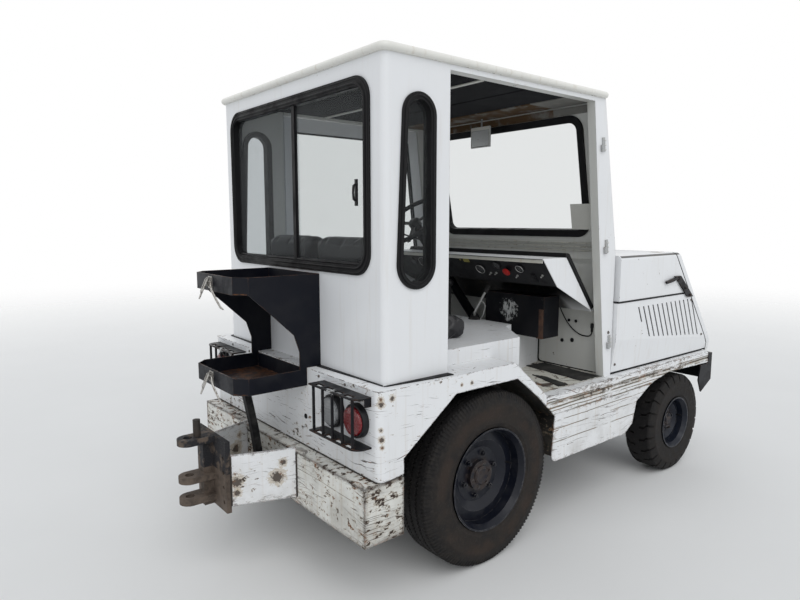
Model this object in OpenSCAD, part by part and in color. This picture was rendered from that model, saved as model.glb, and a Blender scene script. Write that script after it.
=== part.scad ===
// Airport baggage tow tractor: rigid chassis with a half cab, a sloped louvred bonnet,
// a ballast bumper, a three-prong tow hitch and a two-tray carrier behind the cab.
// Millimetres. +X is forward, +Y is left, +Z is up. Stations along X are counted from the
// lamp panel at the rear of the body, and placed() moves the origin under mid length.

/* [Body] */
// Width of the body over its sides
body_w = 1445; // [1400:5:1500]
// Height of the rear deck and of the fender tops
body_top = 886; // [870:1:900]
// Thickness of the body sheets
sheet = 5; // [3:0.5:6]
// Radius of the body's upright rear corners
corner_r = 28; // [15:1:40]
// Lower edge of the lamp panel
panel_low = 542; // [530:1:560]
// Top of the side sills
sill_top = 690; // [680:1:700]
// Lowest edge of the side skirts
skirt_low = 360; // [340:1:390]
// Front end of the side sills
sill_front = 2600; // [2560:1:2620]

/* [Ballast and tow gear] */
// How far the ballast stands behind the lamp panel
ballast_back = 66; // [50:1:90]
// Front face of the ballast
ballast_front = 118; // [100:1:118]
// Underside of the ballast
ballast_low = 311; // [290:1:330]
// Top of the ballast
ballast_top = 538; // [500:1:541]
// Length of the tow box behind the ballast
box_len = 254; // [200:1:300]
// Half width of the tow box where it meets the ballast
box_half_front = 237; // [200:1:260]
// Half width of the tow box at its rear end
box_half_rear = 150; // [130:1:180]
// Underside of the tow box
box_low = 340; // [320:1:360]
// Top edge of the tow box
box_top = 556; // [520:1:600]
// Plate thickness of the tow box
box_plate = 10; // [6:1:14]
// Distance from the hitch mounting plate to the tow pin's axis
prong_reach = 94; // [80:1:120]
// Width of each hitch prong
prong_w = 88; // [70:1:100]
// Thickness of each hitch prong
prong_t = 26; // [20:1:30]
// Bore of the hitch prongs
tow_bore = 36; // [26:1:44]
// Top of the upper, middle and lower prongs
prong_tops = [616, 457, 366];

/* [Cab] */
// Width of the cab
cab_w = 1341; // [1300:1:1360]
// Rear face of the cab
cab_rear = 68; // [60:1:90]
// Height of the cab walls' top
cab_top = 2089; // [2040:1:2140]
// Thickness of the cab walls
cab_wall = 30; // [20:1:40]
// Rear edge of the door openings
door_rear = 390; // [370:1:410]
// Height of the rail over the door openings
rail_h = 20; // [15:1:30]
// Rear edge of the windscreen pillar at its top
pillar_rear_top = 1345; // [1330:1:1360]
// Rear edge of the windscreen pillar at its foot
pillar_rear_foot = 1518; // [1500:1:1525]
// Front face of the windscreen frame at its top
screen_top_x = 1436; // [1420:1:1450]
// Front face of the cab at the windscreen's sill
screen_low_x = 1580; // [1575:1:1581]
// Height of the bend below the windscreen
screen_low_z = 1347; // [1330:1:1360]
// Width of the pillars across the cab
pillar_w = 45; // [35:1:55]
// Thickness of the windscreen's frame
front_wall = 25; // [20:1:40]
// Thickness of the bulkhead below the windscreen
bulkhead_t = 8; // [5:1:12]
// Thickness of the roof
roof_t = 30; // [24:1:40]
// Overhang of the roof round the cab
roof_over = 20; // [10:1:30]

/* [Windows] */
// Width of the rear window over its rubber
rear_glass_w = 1180; // [1000:5:1200]
// Lower edge of the rear window's rubber
rear_glass_low = 1290; // [1260:5:1350]
// Distance from the cab walls' top down to the rear window's rubber
rear_glass_drop = 59; // [49:5:139]
// Visible width of the window rubbers
rubber_w = 38; // [25:1:45]
// How far a rubber laps over the wall
rubber_lap = 15; // [8:1:18]
// How far a rubber stands out from the wall
rubber_out = 8; // [4:1:12]
// Thickness of the panes
pane = 5; // [4:1:6]
// Width of the windscreen over its rubber
screen_w = 1100; // [1000:5:1140]

/* [Bonnet] */
// Half width of the bonnet
hood_half = 692.5; // [685:0.5:700]
// Rear face of the bonnet
hood_rear = 1585; // [1584:1:1590]
// Bottom edge of the bonnet's sides
hood_low = 700; // [695:1:710]
// Height of the split between the bonnet's sides and its lid
lid_low = 1080; // [1060:1:1100]
// Height of the lid's top
hood_top = 1320; // [1300:1:1340]
// Station where the nose starts to slope
nose_top_x = 2220; // [2200:1:2240]
// Station of the nose's lower bend
nose_low_x = 2672; // [2660:1:2680]
// Height of the nose's lower bend
nose_low_z = 749; // [740:1:770]
// Depth of the nose panel's rim
nose_t = 31; // [20:1:36]
// Open seam between the bonnet's sides and the nose panel
seam = 8; // [6:1:12]
// Number of full louvres on each side
louvres = 12; // [8:1:12]
// Spacing of the louvres
louvre_pitch = 50; // [46:1:54]
// Width of a louvre slot
louvre_w = 13; // [8:1:18]

/* [Wheels] */
// Station of the rear axle
rear_axle_x = 619; // [600:1:640]
// Distance between the axles
wheelbase = 1645; // [1635:1:1655]
// Radius of the rear tyres
rear_r = 387; // [380:1:392]
// Section width of the rear tyres
rear_w = 195; // [180:1:205]
// Radius of the rear rims' flange
rear_rim_r = 222; // [210:1:235]
// How far in the rear tyres' outer faces stand from the body's sides
rear_inset = 7.5; // [5:0.5:15]
// Radius of the front tyres
front_r = 294; // [285:1:300]
// Section width of the front tyres
front_w = 175; // [165:1:180]
// Radius of the front rims' flange
front_rim_r = 148; // [140:1:160]
// How far in the front tyres' outer faces stand from the body's sides
front_inset = 17.5; // [10:0.5:22]
// Distance from the front tyres' outer faces in to the kingpins
kingpin_inset = 225; // [220:1:235]
// Number of lugs on each half of a front tyre
lugs = 24; // [20:1:28]
// Height of the lugs
lug_h = 14; // [8:1:18]

/* [Hidden] */
$fn = 64;

body_half = body_w / 2;
cab_half = cab_w / 2;
rear_glass_top = cab_top - rear_glass_drop;
rear_out = body_half - rear_inset;
front_out = body_half - front_inset;
kingpin_y = front_out - kingpin_inset;
front_axle_x = rear_axle_x + wheelbase;
box_rear = -ballast_back - box_len;
hitch_plate_t = 20;
hitch_x = box_rear - hitch_plate_t - prong_reach;
tip_x = hitch_x - prong_w / 2;
nose_foot_x = nose_low_x + 7;
mid_x = (nose_foot_x + tip_x) / 2;
gap = 5;
far = 4000;

// Rear wheel arch, as [forward, up] from the wheel's centre
rear_arch = [[-501, -76], [-501, 226], [-228, 426], [150, 425], [295, 316], [427, 197], [410, 4]];
// Front wheel arch, as [forward, up] from the wheel's centre
front_arch = [[-596, 66], [-524, 111], [-491, 227], [-326, 309], [-159, 339], [336, 324]];

module placed() { translate([-mid_x, 0, 0]) children(); }
// Extrudes an outline drawn in [x, z] from y0 over the width w
module along_y(y0, w) { translate([0, y0 + w, 0]) rotate([90, 0, 0]) linear_extrude(w) children(); }
// Extrudes an outline drawn in [y, z] from x0 over the length l
module along_x(x0, l) { translate([x0, 0, 0]) rotate([90, 0, 90]) linear_extrude(l) children(); }
// Repeats a left-hand piece on the right-hand side
module both_sides() { children(); mirror([0, 1, 0]) children(); }
// A block from its lowest to its highest corner
module block(a, b) { translate(a) cube(b - a); }
// A rectangle with round corners, from its lowest to its highest corner
module rounded(a, b, r) {
    translate([a.x + r, a.y]) square([b.x - a.x - 2 * r, b.y - a.y]);
    translate([a.x, a.y + r]) square([b.x - a.x, b.y - a.y - 2 * r]);
    for (x = [a.x + r, b.x - r], y = [a.y + r, b.y - r]) translate([x, y]) circle(r);
}
// A frame: the rounded rectangle less the same one drawn in by w on all sides
module ring(a, b, r, w) {
    difference() {
        rounded(a, b, r);
        rounded(a + [w, w], b - [w, w], max(r - w, 1));
    }
}
// Left-hand normal of the line from a to b
function normal(a, b) = [a.y - b.y, b.x - a.x] / norm(b - a);
// Corner i of the path p, moved t to the left of the path
function moved(p, i, t) =
    let (n = len(p) - 1,
        u = normal(p[max(i - 1, 0)], p[max(i, 1)]),
        v = normal(p[min(i, n - 1)], p[min(i + 1, n)]))
    p[i] + t * (u + v) / (1 + u * v);
// A bent sheet whose face follows the path p, with its thickness t to the left
module bent(p, t) {
    n = len(p) - 1;
    polygon(concat(p, [for (i = [n:-1:0]) moved(p, i, t)]));
}
function shifted(p, x, z) = [for (q = p) [q.x + x, q.y + z]];

// Wheel arches in stations
rear_arch_line = shifted(rear_arch, rear_axle_x, rear_r);
front_arch_line = shifted(front_arch, front_axle_x, front_r);
well_half = body_half - rear_w - 41;
// Inner face of the sill band at its pressed groove
groove_in = 4;
sill_inside = body_half - groove_in - sheet;

// Station of the slope between the fender tops and the sills
fender_slope = [[rear_axle_x + 129, body_top], [rear_axle_x + 357, sill_top + 10]];
fender_front = fender_slope[1].x;

// Section: the rear body, with its lamp panel, deck, fenders and wheel wells
module rear_body() {
    color("white") {
        translate([0, 0, panel_low]) linear_extrude(body_top - panel_low) difference() {
            ring([0, -body_half], [2 * corner_r + 60, body_half], corner_r, sheet);
            translate([corner_r + 5, -far]) square([far, 2 * far]);
        }
        block([sheet, -body_half + corner_r, body_top - sheet],
            [cab_rear + cab_wall, body_half - corner_r, body_top]);
        both_sides() fender();
    }
}
module fender() {
    difference() {
        along_y(body_half - sheet, sheet) polygon([[corner_r, panel_low], [corner_r, body_top],
            fender_slope[0], fender_slope[1], [fender_front, sill_top - 60], [corner_r, panel_low]]);
        along_y(body_half - 3 * sheet, 6 * sheet) polygon(rear_arch_line);
    }
    intersection() {
        along_y(well_half, body_half - sheet - well_half) bent(rear_arch_line, sheet);
        over_ballast();
    }
    along_y(well_half, body_half - sheet - well_half)
        bent([[sheet, body_top], fender_slope[0], fender_slope[1]], -sheet);
    intersection() {
        along_y(well_half - sheet, sheet) {
            polygon(rear_arch_line);
            bent(rear_arch_line, sheet);
        }
        over_ballast();
    }
}
// The wheel well's own space: above the ballast, and down to the arch's end ahead of the fender
module over_ballast() {
    block([0, 0, panel_low], [fender_front, body_half, body_top]);
    block([fender_front - 1, 0, 0], [far, sill_inside, floor_top - sheet]);
}

module rear_ballast() {
    color("white") difference() {
        union() {
            block([-ballast_back, -body_half, ballast_low], [0, body_half, ballast_top]);
            block([0, -body_half, ballast_low], [ballast_front, body_half, ballast_top]);
        }
        both_sides() translate([ballast_front - 40, 250, ballast_low - 1])
            cube([41, well_half - 250, ballast_top - ballast_low - 60]);
    }
}

module tow_box() {
    plan = [[-ballast_back, box_half_front], [box_rear, box_half_rear],
        [box_rear, -box_half_rear], [-ballast_back, -box_half_front]];
    color("white") difference() {
        union() {
            translate([0, 0, box_low]) linear_extrude(box_top - box_low) bent(plan, box_plate);
            translate([0, 0, box_low]) linear_extrude(box_plate) polygon(plan);
        }
        block([-ballast_back, -far, 0], [far, far, far]);
    }
}

module hitch_bracket() {
    low = prong_tops[2] - prong_t - 25;
    plate_top = prong_tops[0];
    color("#2b2724") difference() {
        union() {
            block([box_rear - hitch_plate_t, -box_half_rear, low],
                [box_rear, box_half_rear, plate_top]);
            block([box_rear - hitch_plate_t - 40, -18, low],
                [box_rear - hitch_plate_t, 18, plate_top]);
            for (top = prong_tops) translate([0, 0, top - prong_t]) linear_extrude(prong_t) {
                translate([hitch_x, 0]) circle(prong_w / 2);
                translate([hitch_x, -prong_w / 2]) square([prong_reach, prong_w]);
            }
        }
        for (top = prong_tops) translate([hitch_x, 0, top - prong_t - 1])
            cylinder(h = prong_t + 2, d = tow_bore);
        for (y = [-1, 1] * (box_half_rear - 28), z = [low + 40:62:plate_top - 40])
            translate([box_rear - hitch_plate_t - 1, y, z]) rotate([0, 90, 0])
                cylinder(h = hitch_plate_t + 2, d = 17);
    }
}

// The tow pin is stowed upright on the upper prong, beside the bores
module hitch_pin() {
    color("#33302d") translate([hitch_x + 38, 0, prong_tops[0]]) cylinder(h = 70, d = 30);
}

module release_hose() {
    line = [[-197, 804], [-157, 600], [-140, 480], [-140, box_low + box_plate]];
    color("#1a1a1c") along_y(-16, 32) bent(line, 30);
}

tray_half = 225;
tray_chamfer = 46;
tray_t = 4;
tray_rim = 70;
upper_tray_z = 1210;
lower_tray_z = 810;
upper_tray_rear = -300;
lower_tray_rear = -310;

// One tray, from its rear edge to the wall that carries it
module tray(rear, front, z) {
    plan = [[front, -tray_half], [rear + tray_chamfer, -tray_half],
        [rear, -tray_half + tray_chamfer], [rear, tray_half - tray_chamfer],
        [rear + tray_chamfer, tray_half], [front, tray_half]];
    translate([0, 0, z]) linear_extrude(tray_rim) bent(plan, -tray_t);
    translate([0, 0, z]) linear_extrude(tray_t) polygon(plan);
    block([front - tray_t, -tray_half, z], [front, tray_half, z + tray_rim]);
}
module tray_carrier() {
    cheek = [[cab_rear, upper_tray_z], [upper_tray_rear + tray_chamfer, upper_tray_z],
        [-160, 1125], [-58, 1030], [-34, 957], [-34, lower_tray_z + tray_rim],
        [0, lower_tray_z + tray_rim - 20], [0, body_top], [cab_rear, body_top]];
    color("#1c1c1f") {
        tray(upper_tray_rear, cab_rear, upper_tray_z);
        tray(lower_tray_rear, 0, lower_tray_z);
        both_sides() along_y(tray_half - tray_t, tray_t) polygon(cheek);
    }
}
// Loose toggle latches on the rear edges of both trays
module tray_latches() {
    color("#77797c") for (t = [[upper_tray_rear, upper_tray_z], [lower_tray_rear, lower_tray_z]])
        translate([t[0], 30, t[1]]) {
            block([-12, -20, 12], [0, 20, 62]);
            translate([-16, 0, 40]) rotate([0, 25, 0]) block([-8, -8, -80], [0, 8, 20]);
        }
}

lamp_r = 66;
lamp_z = 755;
tail_lamp_y = 599;
reverse_lamp_y = 440;
module lamp() {
    translate([0, 0, lamp_z]) rotate([0, -90, 0]) {
        cylinder(h = 26, r = lamp_r);
        cylinder(h = 40, r = lamp_r - 10);
    }
}
module tail_lamps() { color("#a01515") both_sides() translate([0, tail_lamp_y, 0]) lamp(); }
module reverse_lamps() { color("#e8e8e2") both_sides() translate([0, reverse_lamp_y, 0]) lamp(); }

guard_in = 358;
guard_out = 678;
guard_low = 664;
guard_top = 860;
guard_back = 74;
guard_plate = 6;
guard_corner = 45;
guard_bars = 5;
guard_pitch = 67;
function guard_bar_y(i) = guard_in + 20 + i * guard_pitch;
// Two slotted plates off the lamp panel, round at their outer corners, with bars between them
module lamp_guards() {
    color("#141416") both_sides() {
        for (z = [guard_low, guard_top - guard_plate])
            translate([0, 0, z]) linear_extrude(guard_plate) difference() {
                guard_plan();
                for (i = [0:guard_bars - 2]) translate([9 - guard_back, guard_bar_y(i) + 10])
                    square([22, guard_pitch - 20]);
            }
        for (i = [0:guard_bars - 1]) translate([11 - guard_back, guard_bar_y(i), guard_low + 1])
            cylinder(h = guard_top - guard_low - 2, r = 6);
        block([guard_corner - guard_back, guard_out - guard_plate, guard_top - 36],
            [0, guard_out, guard_top]);
    }
}
module guard_plan() {
    difference() {
        translate([-guard_back, guard_in]) square([guard_back, guard_out - guard_in]);
        translate([-guard_back - 1, guard_out - guard_corner]) square(guard_corner + 1);
    }
    intersection() {
        translate([guard_corner - guard_back, guard_out - guard_corner]) circle(guard_corner);
        translate([-guard_back, guard_in]) square([guard_corner + 1, guard_out - guard_in]);
    }
}

// Height of the seam between the sill band and the skirt, and of the band's pressed groove
skirt_seam = 596;
groove_z = 648;
// Quarter round of radius r from the skirt's lower edge up to the point p
function skirt_corner(p, r) = [for (a = [270:-15:180]) p + [r, 0] + r * [cos(a), sin(a)]];
module side_panels() {
    outline = [[fender_front, sill_top], [sill_front, sill_top],
        [sill_front, front_arch_line[5].y], front_arch_line[5], front_arch_line[4],
        front_arch_line[3], front_arch_line[2], front_arch_line[1], front_arch_line[0],
        each skirt_corner(rear_arch_line[6], rear_arch_line[6].y - skirt_low),
        rear_arch_line[5], [fender_front, 647]];
    section = [[body_half - 60, sill_top], [body_half, sill_top], [body_half, groove_z + 9],
        [body_half - groove_in, groove_z + 4], [body_half - groove_in, groove_z - 4],
        [body_half, groove_z - 9],
        [body_half, skirt_seam], [body_half - 3, skirt_seam], [body_half - 3, skirt_low - 1]];
    color("white") both_sides() intersection() {
        along_x(fender_front, sill_front - fender_front) bent(section, -sheet);
        along_y(0, body_half + 1) polygon(outline);
    }
}

module cab_shell() {
    color("white") difference() {
        translate([0, 0, body_top]) linear_extrude(cab_top - body_top) difference() {
            rounded([cab_rear, -cab_half], [cab_rear + 900, cab_half], corner_r);
            rounded([cab_rear + cab_wall, cab_wall - cab_half],
                [cab_rear + 900, cab_half - cab_wall], 12);
            translate([door_rear, -far]) square([far, 2 * far]);
        }
        along_x(cab_rear - 1, cab_wall + 2) rear_window(rubber_lap);
        along_y(-far / 2, far) quarter_window(rubber_lap);
    }
}
// Outline of the rear window's rubber, drawn in by g
module rear_window(g) {
    rounded([g - rear_glass_w / 2, rear_glass_low + g],
        [rear_glass_w / 2 - g, rear_glass_top - g], 90 - g);
}
quarter_front = 314;
quarter_low = 1240;
quarter_top = cab_top - 121;
// Outline of a quarter window's rubber, drawn in by g: wider below, upright in front
module quarter_window(g) {
    rt = 82.5;
    rb = 95;
    top = [quarter_front - rt, quarter_top - rt];
    bottom = [quarter_front - rb, quarter_low + rb];
    lean = 180 - 2 * asin((rb - rt) / norm(top - bottom));
    side = [cos(lean), sin(lean)];
    translate(top) circle(rt - g);
    translate(bottom) circle(rb - g);
    polygon([top + [rt - g, 0], top + (rt - g) * side, bottom + (rb - g) * side,
        bottom + [rb - g, 0]]);
}

rake = atan((screen_low_x - screen_top_x) / (cab_top - screen_low_z));
// Puts a piece in the windscreen's own plane: x out of it, z up along it
module on_screen() { translate([screen_low_x, 0, screen_low_z]) rotate([0, -rake, 0]) children(); }
screen_low = 74;
screen_high = norm([screen_low_x - screen_top_x, cab_top - screen_low_z]) - 51;
// Play round the windscreen's rubber in its hole, and under its lips on both faces of the wall
rubber_play = 0.5;
lip_play = 0.02;
// Outline of the windscreen's rubber, drawn in by g
module windscreen(g) {
    rounded([g - screen_w / 2, screen_low + g], [screen_w / 2 - g, screen_high - g], 80 - g);
}
cab_floor = sill_top;
door_lean = (pillar_rear_foot - pillar_rear_top) / (cab_top - cab_floor);
function pillar_rear_at(z) = pillar_rear_top + (cab_top - z) * door_lean;
module cab_front() {
    front = [[screen_top_x, cab_top], [screen_low_x, screen_low_z], [screen_low_x, cab_floor]];
    inner = [moved(front, 0, -front_wall), moved(front, 1, -front_wall)];
    bulkhead_top = screen_low_z - 2 * front_wall;
    color("white") difference() {
        union() {
            along_y(-cab_half, cab_w) polygon(concat(front,
                [[pillar_rear_foot, cab_floor], [pillar_rear_top, cab_top]]));
            both_sides() along_y(cab_half - pillar_w, pillar_w) polygon([
                [door_rear, cab_top - rail_h], [door_rear, cab_top], [pillar_rear_top + 5, cab_top],
                [pillar_rear_top + 5, cab_top - rail_h]]);
        }
        along_y(pillar_w - cab_half, cab_w - 2 * pillar_w) polygon([
            inner[0] + 0.1 * (inner[0] - inner[1]), inner[1], [inner[1].x, bulkhead_top],
            [bulkhead_x, bulkhead_top - front_wall], [bulkhead_x, cab_floor - 1],
            [door_rear, cab_floor - 1], [door_rear, cab_top + far]]);
        on_screen() along_x(-2 * front_wall, 3 * front_wall) windscreen(rubber_lap - rubber_play);
    }
}

// The roof's skin lies a little below the rolled bead round its edge
module roof() {
    a = [cab_rear - roof_over, -cab_half - roof_over];
    b = [screen_top_x + roof_over, cab_half + roof_over];
    mid = (a.x + b.x) / 2;
    half = [(b.x - a.x) / 2, b.y];
    r = 40;
    e = roof_t / 2;
    color("#e9e6dc") translate([mid, 0, cab_top]) {
        linear_extrude(roof_t - 4) rounded([e, e] - half, half - [e, e], r - e);
        for (s = [0, 1]) mirror([s, 0, 0]) for (t = [0, 1]) mirror([0, t, 0]) {
            along_x(0, half.x - r) translate([half.y - e, e + 1]) roll(e);
            translate([half.x - e, 0, e + 1]) rotate([-90, 0, 0]) linear_extrude(half.y - r) roll(e);
            translate([half.x - r, half.y - r, e + 1]) rotate_extrude(angle = 90)
                translate([r - e, 0]) roll(e);
        }
    }
}
// Half a disc on the side of +x
module roll(e) {
    intersection() {
        circle(e);
        translate([0, -e]) square([e, 2 * e]);
    }
}

// A rubber that laps over both faces of a wall of thickness t, its outline given as a child
module lapped(t) {
    difference() {
        union() {
            translate([0, 0, -rubber_out]) linear_extrude(rubber_out) children(0);
            translate([0, 0, -1]) linear_extrude(t + 2) children(1);
            translate([0, 0, t]) linear_extrude(rubber_out) children(0);
        }
        translate([0, 0, -far]) linear_extrude(2 * far) children(2);
    }
}
module window_rubbers() {
    color("#121214") {
        translate([cab_rear, 0, 0]) rotate([90, 0, 90]) lapped(cab_wall) {
            rear_window(0);
            rear_window(rubber_lap);
            rear_window(rubber_w);
        }
        block([cab_rear, -40, rear_glass_low + rubber_w],
            [cab_rear + 12, -16, rear_glass_top - rubber_w]);
        both_sides() translate([0, cab_half, 0]) rotate([90, 0, 0]) lapped(cab_wall) {
            quarter_window(0);
            quarter_window(rubber_lap);
            quarter_window(27);
        }
        on_screen() translate([-front_wall - lip_play, 0, 0]) rotate([90, 0, 90])
                lapped(front_wall + 2 * lip_play) {
            windscreen(0);
            windscreen(rubber_lap);
            windscreen(rubber_w);
        }
    }
}
module window_panes() {
    x = cab_rear + 12;
    color([0.35, 0.4, 0.42, 0.5]) {
        along_x(x, pane) intersection() {
            rear_window(rubber_w);
            translate([-far, 0]) square([far - 20, far]);
        }
        along_x(x + pane + 2, pane) intersection() {
            rear_window(rubber_w);
            translate([-36, 0]) square([far, far]);
        }
        both_sides() along_y(cab_half - 16 - pane, pane) quarter_window(27);
        on_screen() along_x(-front_wall / 2, pane) windscreen(rubber_w);
    }
}

// Hinge leaves: height of each leaf's middle on the pillar
hinge_z = [cab_top - 221, 1368, 871];
hinge_h = 68;
hinge_r = 7;
// The hinge line leans back with the pillar
hinge_top = [pillar_rear_at(hinge_z[0]) + 38, cab_half + hinge_r + 2, hinge_z[0]];
hinge_foot = [pillar_rear_at(hinge_z[2]) + 38, cab_half + hinge_r + 2, hinge_z[2]];
hinge_lean = atan((hinge_foot.x - hinge_top.x) / (hinge_top.z - hinge_foot.z));
module on_hinge(z) {
    f = (z - hinge_foot.z) / (hinge_top.z - hinge_foot.z);
    translate(hinge_foot + f * (hinge_top - hinge_foot)) rotate([0, -hinge_lean, 0]) children();
}
module door_hinges() {
    color("#d8d8d4") both_sides() for (z = hinge_z) on_hinge(z) {
        translate([0, 0, -hinge_h / 2]) cylinder(h = hinge_h / 2 - 0.3, r = hinge_r);
        block([-2, -hinge_r - 2, -hinge_h / 2], [9, -hinge_r + 3, -0.3]);
        block([9, -hinge_r - 2, -hinge_h / 2], [30, -hinge_r + 3, hinge_h / 2]);
    }
}

floor_top = sill_top - sheet;
bulkhead_x = screen_low_x - bulkhead_t;
module floor_pan() {
    color("#3a3a3c") block([fender_front, -sill_inside, floor_top - sheet],
        [screen_low_x, sill_inside, floor_top]);
}

platform_top = 955;
tunnel_top = 885;
platform_half = 575;
platform_front = 950;
// Plan of the seat platform and of the tunnel ahead of it, up to the bulkhead
module platform_plan(g) {
    half = [[cab_rear + cab_wall + g, platform_half - g], [platform_front, platform_half - g],
        [platform_front + 180, 330 - g], [bulkhead_x - 0.3, 200 - g]];
    polygon(concat(half, [[bulkhead_x - 0.3, 0], [half[0].x, 0]]));
    mirror([0, 1]) polygon(concat(half, [[bulkhead_x - 0.3, 0], [half[0].x, 0]]));
}
module seat_platform() {
    tunnel_x = platform_front + 250;
    color("white") difference() {
        translate([0, 0, floor_top]) linear_extrude(platform_top - floor_top) platform_plan(0);
        difference() {
            translate([0, 0, floor_top - 1]) linear_extrude(platform_top - floor_top + 1 - sheet)
                platform_plan(sheet);
            block([tunnel_x - sheet, -far, tunnel_top - sheet], [far, far, far]);
        }
        block([tunnel_x, -far, tunnel_top], [far, far, far]);
        along_y(-far / 2, far) polygon([[0, 0], [0, body_top], fender_slope[0], fender_slope[1],
            [fender_front, 0]]);
    }
}

// Middle of each seat, its width, and the station of its back's foot
seat_y = 224;
seat_w = 436;
seat_back_x = 350;
seat_lean = 12;
seat_back_t = 80;
seat_back_r = 38;
seat_back_h = 518;
// Run and drop of the curve at each end of a seat back's top
seat_crown = [110, 38];
seat_back_lift = (seat_back_r + 0.3 + (seat_back_t - seat_back_r) * sin(seat_lean))
    / cos(seat_lean) - seat_back_r;
module seat_cushions() {
    color("#1d1d20") both_sides() along_y(seat_y - seat_w / 2, seat_w)
        rounded([seat_back_x + 10, platform_top], [seat_back_x + 410, platform_top + 100], 35);
}
module seat_backs() {
    color("#1d1d20") both_sides() translate([seat_back_x, 0, platform_top])
        rotate([0, -seat_lean, 0]) translate([0, 0, seat_back_lift]) intersection() {
            along_y(seat_y - seat_w / 2, seat_w)
                rounded([-seat_back_t, 0], [0, seat_back_h], seat_back_r);
            along_x(-seat_back_t - 1, seat_back_t + 2) seat_back_outline();
        }
}
// A seat back from the front: its top curves down at both ends
module seat_back_outline() {
    r = (seat_crown * seat_crown) / (2 * seat_crown.y);
    translate([seat_y - seat_w / 2 - 1, -1]) square([seat_w + 2, seat_back_h - seat_crown.y + 1]);
    intersection() {
        translate([seat_y - seat_w / 2 - 1, 0]) square([seat_w + 2, seat_back_h]);
        union() {
            translate([seat_y - seat_w / 2 + seat_crown.x, seat_back_h - r])
                square([seat_w - 2 * seat_crown.x, r]);
            for (s = [-1, 1])
                translate([seat_y + s * (seat_w / 2 - seat_crown.x), seat_back_h - r]) circle(r);
        }
    }
}

// Side outline of the dash: its lip, the ridge over the gauges, the foot and the knee edge
dash_top = 1320;
dash_half = 600;
dash_side = [[1076, dash_top], [1260, dash_top], [1489, 1035], [1194, 1178]];
wheel_hub = [1050, 300, 1480];
column_tilt = 40;
column_len = (bulkhead_x - wheel_hub.x) / sin(column_tilt) + 40;
// Puts a piece on the steering column's line: z runs up from the hub's middle
module on_column() { translate(wheel_hub) rotate([0, -column_tilt, 0]) children(); }
module dash_cowl() {
    color("white") difference() {
        union() {
            along_y(-dash_half, 2 * dash_half) bent([dash_side[0], dash_side[1], dash_side[2],
                [bulkhead_x, dash_side[2].y]], -sheet);
            both_sides() along_y(dash_half - sheet, sheet) polygon(dash_side);
        }
        on_column() translate([0, 0, -column_len / 2]) cylinder(h = column_len / 2, r = 34);
    }
}
module instrument_panel() {
    color("#17171a") along_y(-dash_half + sheet, 2 * (dash_half - sheet))
        bent([dash_side[0] + [12, -sheet - 6], dash_side[3]], 6);
}
module heater_box() {
    color("#17171a") block([1290, -450, tunnel_top], [1418, -40, 1105]);
}
module steering_column() {
    color("#17171a") intersection() {
        on_column() {
            translate([0, 0, -column_len]) cylinder(h = column_len - 30, r = 28);
            translate([0, 0, -60]) cylinder(h = 45, r = 12);
        }
        block([0, -far, 0], [bulkhead_x, far, far]);
    }
}
module steering_wheel() {
    color("#101012") on_column() {
        rotate_extrude() translate([190, 30]) circle(13);
        translate([0, 0, -14]) cylinder(h = 34, r = 36);
        for (a = [90, 210, 330]) rotate([0, 0, a]) translate([30, -10, 4]) cube([150, 20, 8]);
        for (a = [90, 210, 330]) rotate([0, 0, a]) translate([174, -10, 4]) cube([8, 20, 22]);
    }
}
pedal_pitch = 90;
lever_foot = [1100, 60, platform_top];
lever_h = 200;
module driver_controls() {
    color("#17171a") {
        for (i = [0:2]) {
            y = wheel_hub.y + i * pedal_pitch;
            block([bulkhead_x - 110, y - 30, floor_top], [bulkhead_x - 90, y + 30, floor_top + 95]);
            block([bulkhead_x - 90, y - 8, floor_top], [bulkhead_x - 60, y + 8, floor_top + 60]);
        }
        translate(lever_foot) cylinder(h = lever_h, r = 8);
        translate(lever_foot + [0, 0, lever_h]) sphere(20);
    }
}

// Outer line of the nose panel, from its top edge over the lower bend to its foot
nose_foot_z = sill_top - sheet;
nose_line = [[nose_top_x, hood_top], [nose_low_x, nose_low_z], [nose_foot_x, nose_foot_z]];
nose_slope = norm(nose_line[1] - nose_line[0]);
nose_lean = atan((nose_low_x - nose_top_x) / (hood_top - nose_low_z));
// The nose line carried on by l past both of its ends
nose_run = [nose_line[0] - 60 * (nose_line[1] - nose_line[0]) / nose_slope, nose_line[1],
    nose_line[2] + [0, -60]];
// Everything ahead of the nose line, moved back by g
module ahead_of_nose(g) {
    polygon(concat([for (i = [0:2]) moved(nose_run, i, -g)], [[far, 0], [far, far]]));
}
// The bonnet's outline from the front, drawn in by g
module hood_section(g) {
    rounded([g - hood_half, 0], [hood_half - g, hood_top - g], 25 - g);
}
// The fold along each bonnet side, in [station, height], and how far the face below it leans
// in for each millimetre down
fold_line = [[1577, 880], [2565, 784]];
fold_lean = 0.139;
fold_deep = 40;
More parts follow.
